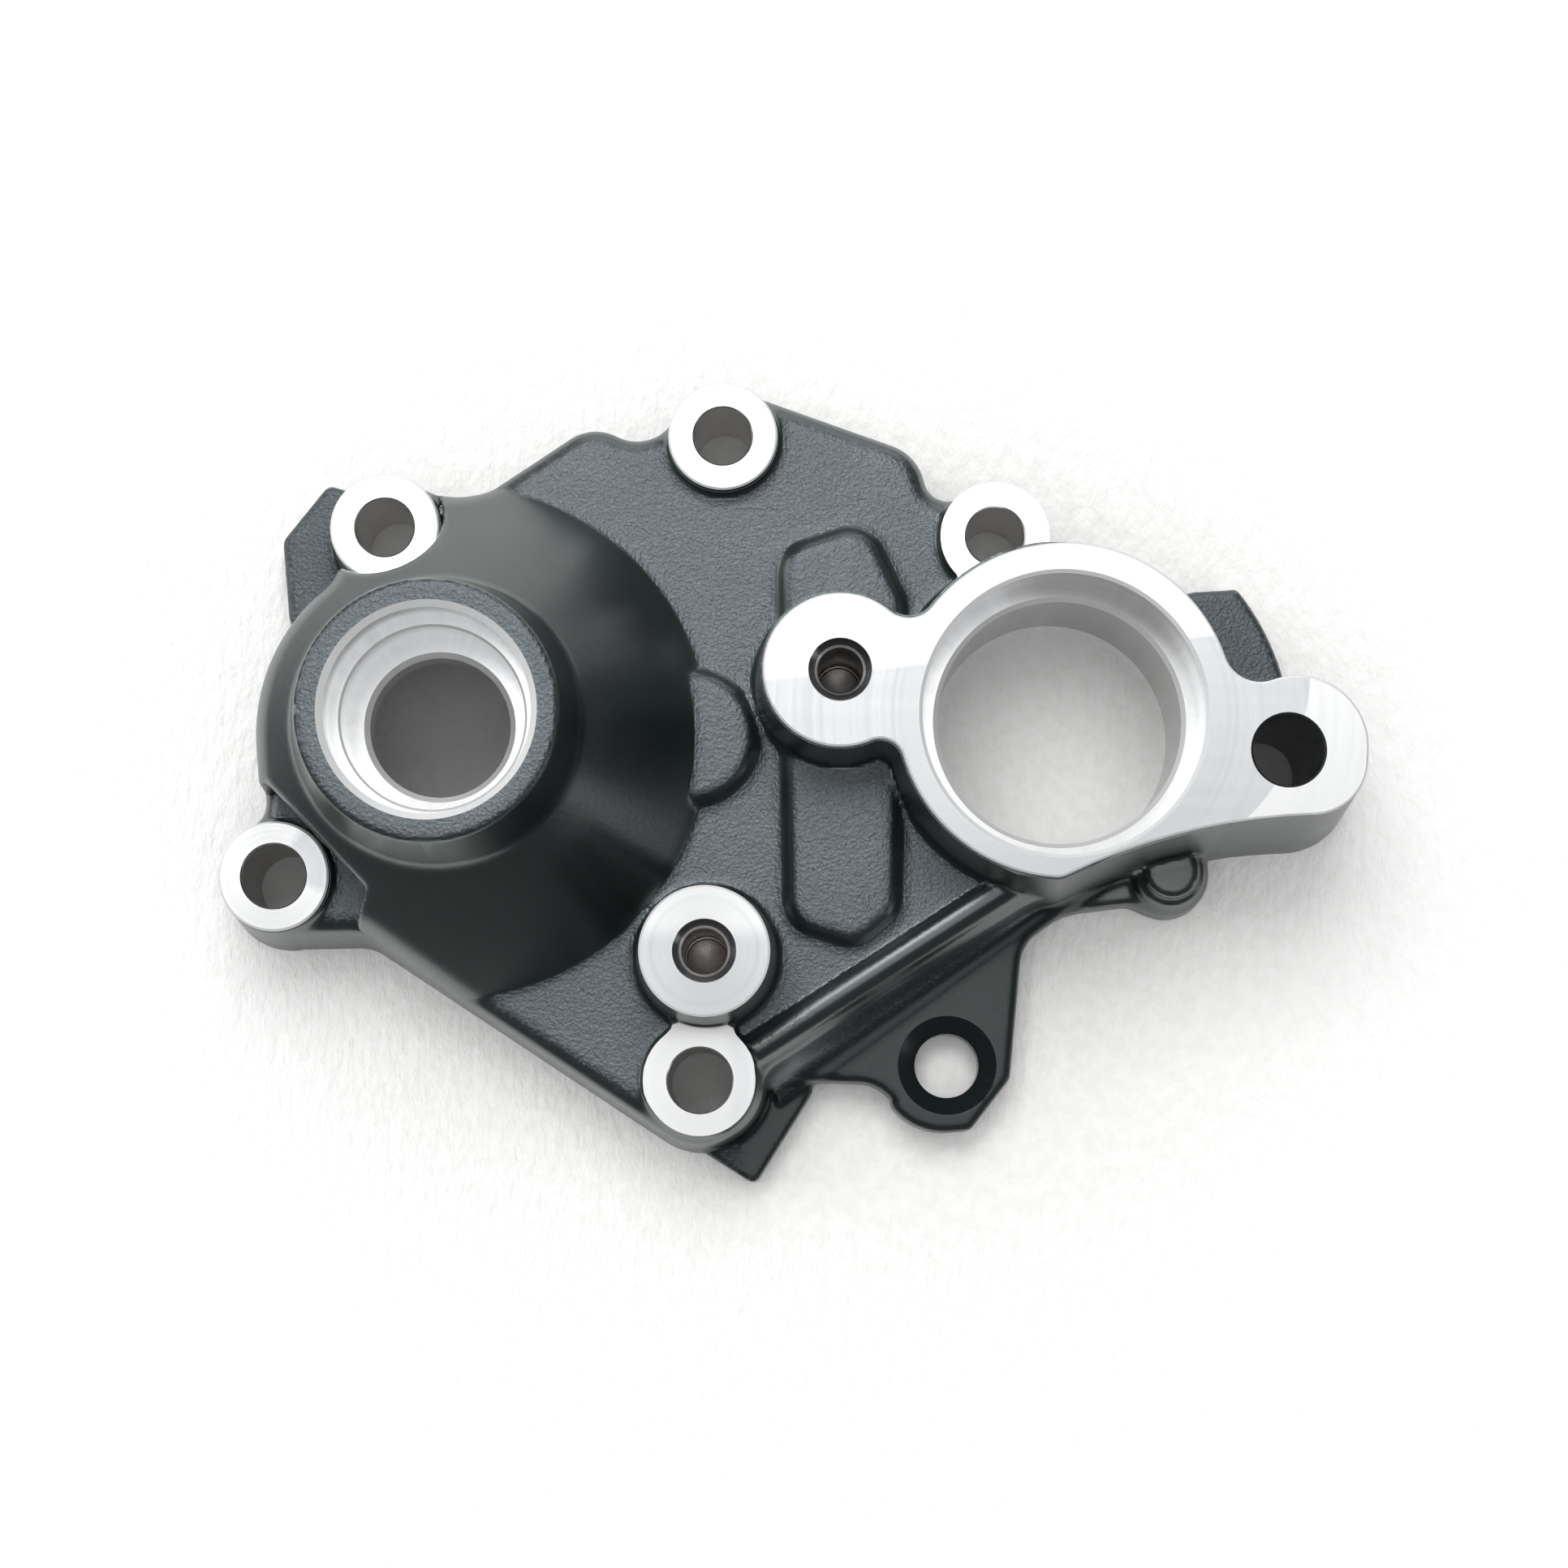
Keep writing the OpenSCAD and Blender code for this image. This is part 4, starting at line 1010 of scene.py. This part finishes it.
def give_grain_and_wear(mesh, v):
    """Gives every vertex the shares that the coat reads: grain by how level the ground is, and rubbed edge
    by how fast the neighbouring normals spread, in turns per millimetre. On the skirt both also carry a
    painted sheen."""
    def keep(name, values):
        mesh.attributes.new(name, "FLOAT", "POINT").data.foreach_set("value", values.astype(np.float32))

    n = np.empty(3 * len(v), np.float32)
    mesh.vertices.foreach_get("normal", n)
    n = n.reshape(-1, 3)
    grain = np.clip((n[:, 2] - 0.80) / 0.15, 0, 1)
    # None on the bead, the ear and the low boss, nor at the foot of the walls
    (ax, ay), (bx, by) = BEAD_FROM, BEAD_TO
    long = math.hypot(bx - ax, by - ay)
    across = ((v[:, 0] - ax) * (by - ay) - (v[:, 1] - ay) * (bx - ax)) / long
    along = ((v[:, 0] - ax) * (bx - ax) + (v[:, 1] - ay) * (by - ay)) / long ** 2
    grain[(across > -2.0) & (v[:, 0] > -36) & (v[:, 1] < -12) & (v[:, 2] < 20)] = 0
    grain[np.hypot(v[:, 0] - LOW[0], v[:, 1] - LOW[1]) < 9] = 0
    grain[v[:, 2] < 2] = 0
    # The skirt under the bead is grained and rubbed, with a painted sheen, most in the middle of its length
    height = np.clip((v[:, 2] - EAR_T - 0.2) / 0.8, 0, 1) * np.clip(12.2 - v[:, 2], 0, 1)
    middle = np.clip(along / 0.3, 0.25, 1) * np.clip((1.12 - along) / 0.2, 0, 1)
    skirt = np.clip((across - 1.7) / 0.6, 0, 1) * height * middle
    keep("grain", np.maximum(grain, skirt))

    e = np.empty(2 * len(mesh.edges), np.int32)
    mesh.edges.foreach_get("vertices", e)
    i, j = e.reshape(-1, 2).T
    gap = v[j] - v[i]
    spread = ((n[j] - n[i]) * gap).sum(1) / np.maximum((gap ** 2).sum(1), 1e-3)
    bend, count = np.zeros(len(v)), np.zeros(len(v))
    for k in (i, j):
        np.add.at(bend, k, spread)
        np.add.at(count, k, 1)
    edge = np.clip(bend / np.maximum(count, 1) * 1.3 - 0.25, 0, 1)
    # The skirt's painted sheen goes into the rubbed edge too
    keep("edge", np.maximum(edge, 0.9 * skirt))


def paint(ob):
    """Gives the piece its materials, its sharp edges and the shares that the coat reads."""
    mesh = ob.data
    v, *faces = face_facts(mesh)
    give_materials(mesh, v, *faces)
    give_grain_and_wear(mesh, v)
    mesh.update()


paint(cover)

# Table, light and camera
scene = bpy.context.scene


def table_top():
    """A wide flat sheet of pale board."""
    left, right, front, back = -0.33, 0.27, -0.27, 0.37
    corners = np.array([(left, front, 0), (right, front, 0), (right, back, 0), (left, back, 0)])
    top = mesh_object("table", corners, np.array([[0, 1, 2, 3]]))
    m, t, b = new_material("pale_board")
    point = place_in_mm(t)
    mottle = noise(t, point, 0.55, 4.0, 0.6)
    fibre = noise(t, vector(t, "MULTIPLY", point, (1.0, 0.45, 1.0)), 0.8, 3.0, 0.6)
    board = blend(t, ramp(t, mottle, 0.38, 0.62), (0.915, 0.909, 0.899, 1), (0.965, 0.96, 0.952, 1))
    # The board is paler away from the part
    outer = ramp(t, vector(t, "DISTANCE", point, (-30, -5, 0)), 40.0, 105.0)
    board = blend(t, outer, board, (0.975, 0.975, 0.973, 1))
    # What the coat mirrors: the board's lit patch round the part, and its dim far parts
    far = ramp(t, vector(t, "DISTANCE", point, (-40, 30, 0)), 88.0, 125.0, 0.0, 0.92)
    mirrored = calc(t, "MULTIPLY", put(t, "ShaderNodeLightPath").outputs["Is Glossy Ray"], far)
    t.links.new(blend(t, mirrored, board, (0.03, 0.03, 0.03, 1)), b.inputs["Base Color"])
    b.inputs["Roughness"].default_value = 0.85
    t.links.new(bump(t, fibre, 0.35), b.inputs["Normal"])
    top.data.materials.append(m)


table_top()

cam_data = bpy.data.cameras.new("camera")
camera = bpy.data.objects.new("camera", cam_data)
scene.collection.objects.link(camera)
# The photograph is IMAGE_PX wide and its focal length is FOCAL_PX in the same pixels
SENSOR, IMAGE_PX, FOCAL_PX = 36, 1932, 4400
cam_data.sensor_width = SENSOR
cam_data.lens = SENSOR * FOCAL_PX / IMAGE_PX
cam_data.clip_start, cam_data.clip_end = 0.01, 50
right = Vector((0.99999263, 0, -0.0038389))
down = Vector((-0.000433449, -0.993605252, -0.112908856))
ahead = Vector((-0.00381435, 0.11290969, -0.99359793))
turn_to = Matrix((right, -down, -ahead)).transposed().to_4x4()
camera.matrix_world = Matrix.Translation(Vector((-29.161, -51.7446, 412.4392)) * MM) @ turn_to
scene.camera = camera

world = bpy.data.worlds.new("studio")
scene.world = world
world.use_nodes = True
wt = world.node_tree
room_light = wt.nodes["Background"]
room_light.inputs["Color"].default_value = (1, 1, 1, 1)
path = put(wt, "ShaderNodeLightPath")
seen = calc(wt, "MAXIMUM", path.outputs["Is Camera Ray"], path.outputs["Is Transmission Ray"])
# The room's level as it lights the part, and how much darker it is in what the gloss mirrors
ROOM, ROOM_DROP = 0.57, -0.49
level = calc(wt, "ADD", ROOM, calc(wt, "MULTIPLY", path.outputs["Is Glossy Ray"], ROOM_DROP))
level = calc(wt, "MAXIMUM", level, seen)
wt.links.new(level, room_light.inputs["Strength"])


def softbox(name, at, to, size, level):
    """Rectangular light of a given brightness, where 1 is white."""
    data = bpy.data.lights.new(name, "AREA")
    data.shape = "RECTANGLE"
    data.size, data.size_y = size
    data.energy = level * math.pi * size[0] * size[1]
    ob = bpy.data.objects.new(name, data)
    scene.collection.objects.link(ob)
    ob.location = at
    ob.rotation_euler = (Vector(to) - Vector(at)).to_track_quat("-Z", "Y").to_euler()


softbox("key", (-0.12, 0.46, 0.86), (-0.03, 0, 0.01), (0.66, 0.50), 3.8)
softbox("overhead", (-0.03, 0.0, 1.1), (-0.03, 0, 0), (1.0, 1.0), 0.95)
softbox("left_card", (-1.1, 0.35, 0.40), (-0.03, 0, 0.02), (1.0, 0.6), 1.9)
softbox("back_card", (0.1, 1.2, 0.28), (-0.03, 0, 0.02), (1.3, 0.5), 1.3)
softbox("right_card", (0.80, -0.36, 0.10), (-0.06, -0.01, 0.02), (0.22, 0.18), 1.6)
scene.view_settings.view_transform = "Standard"
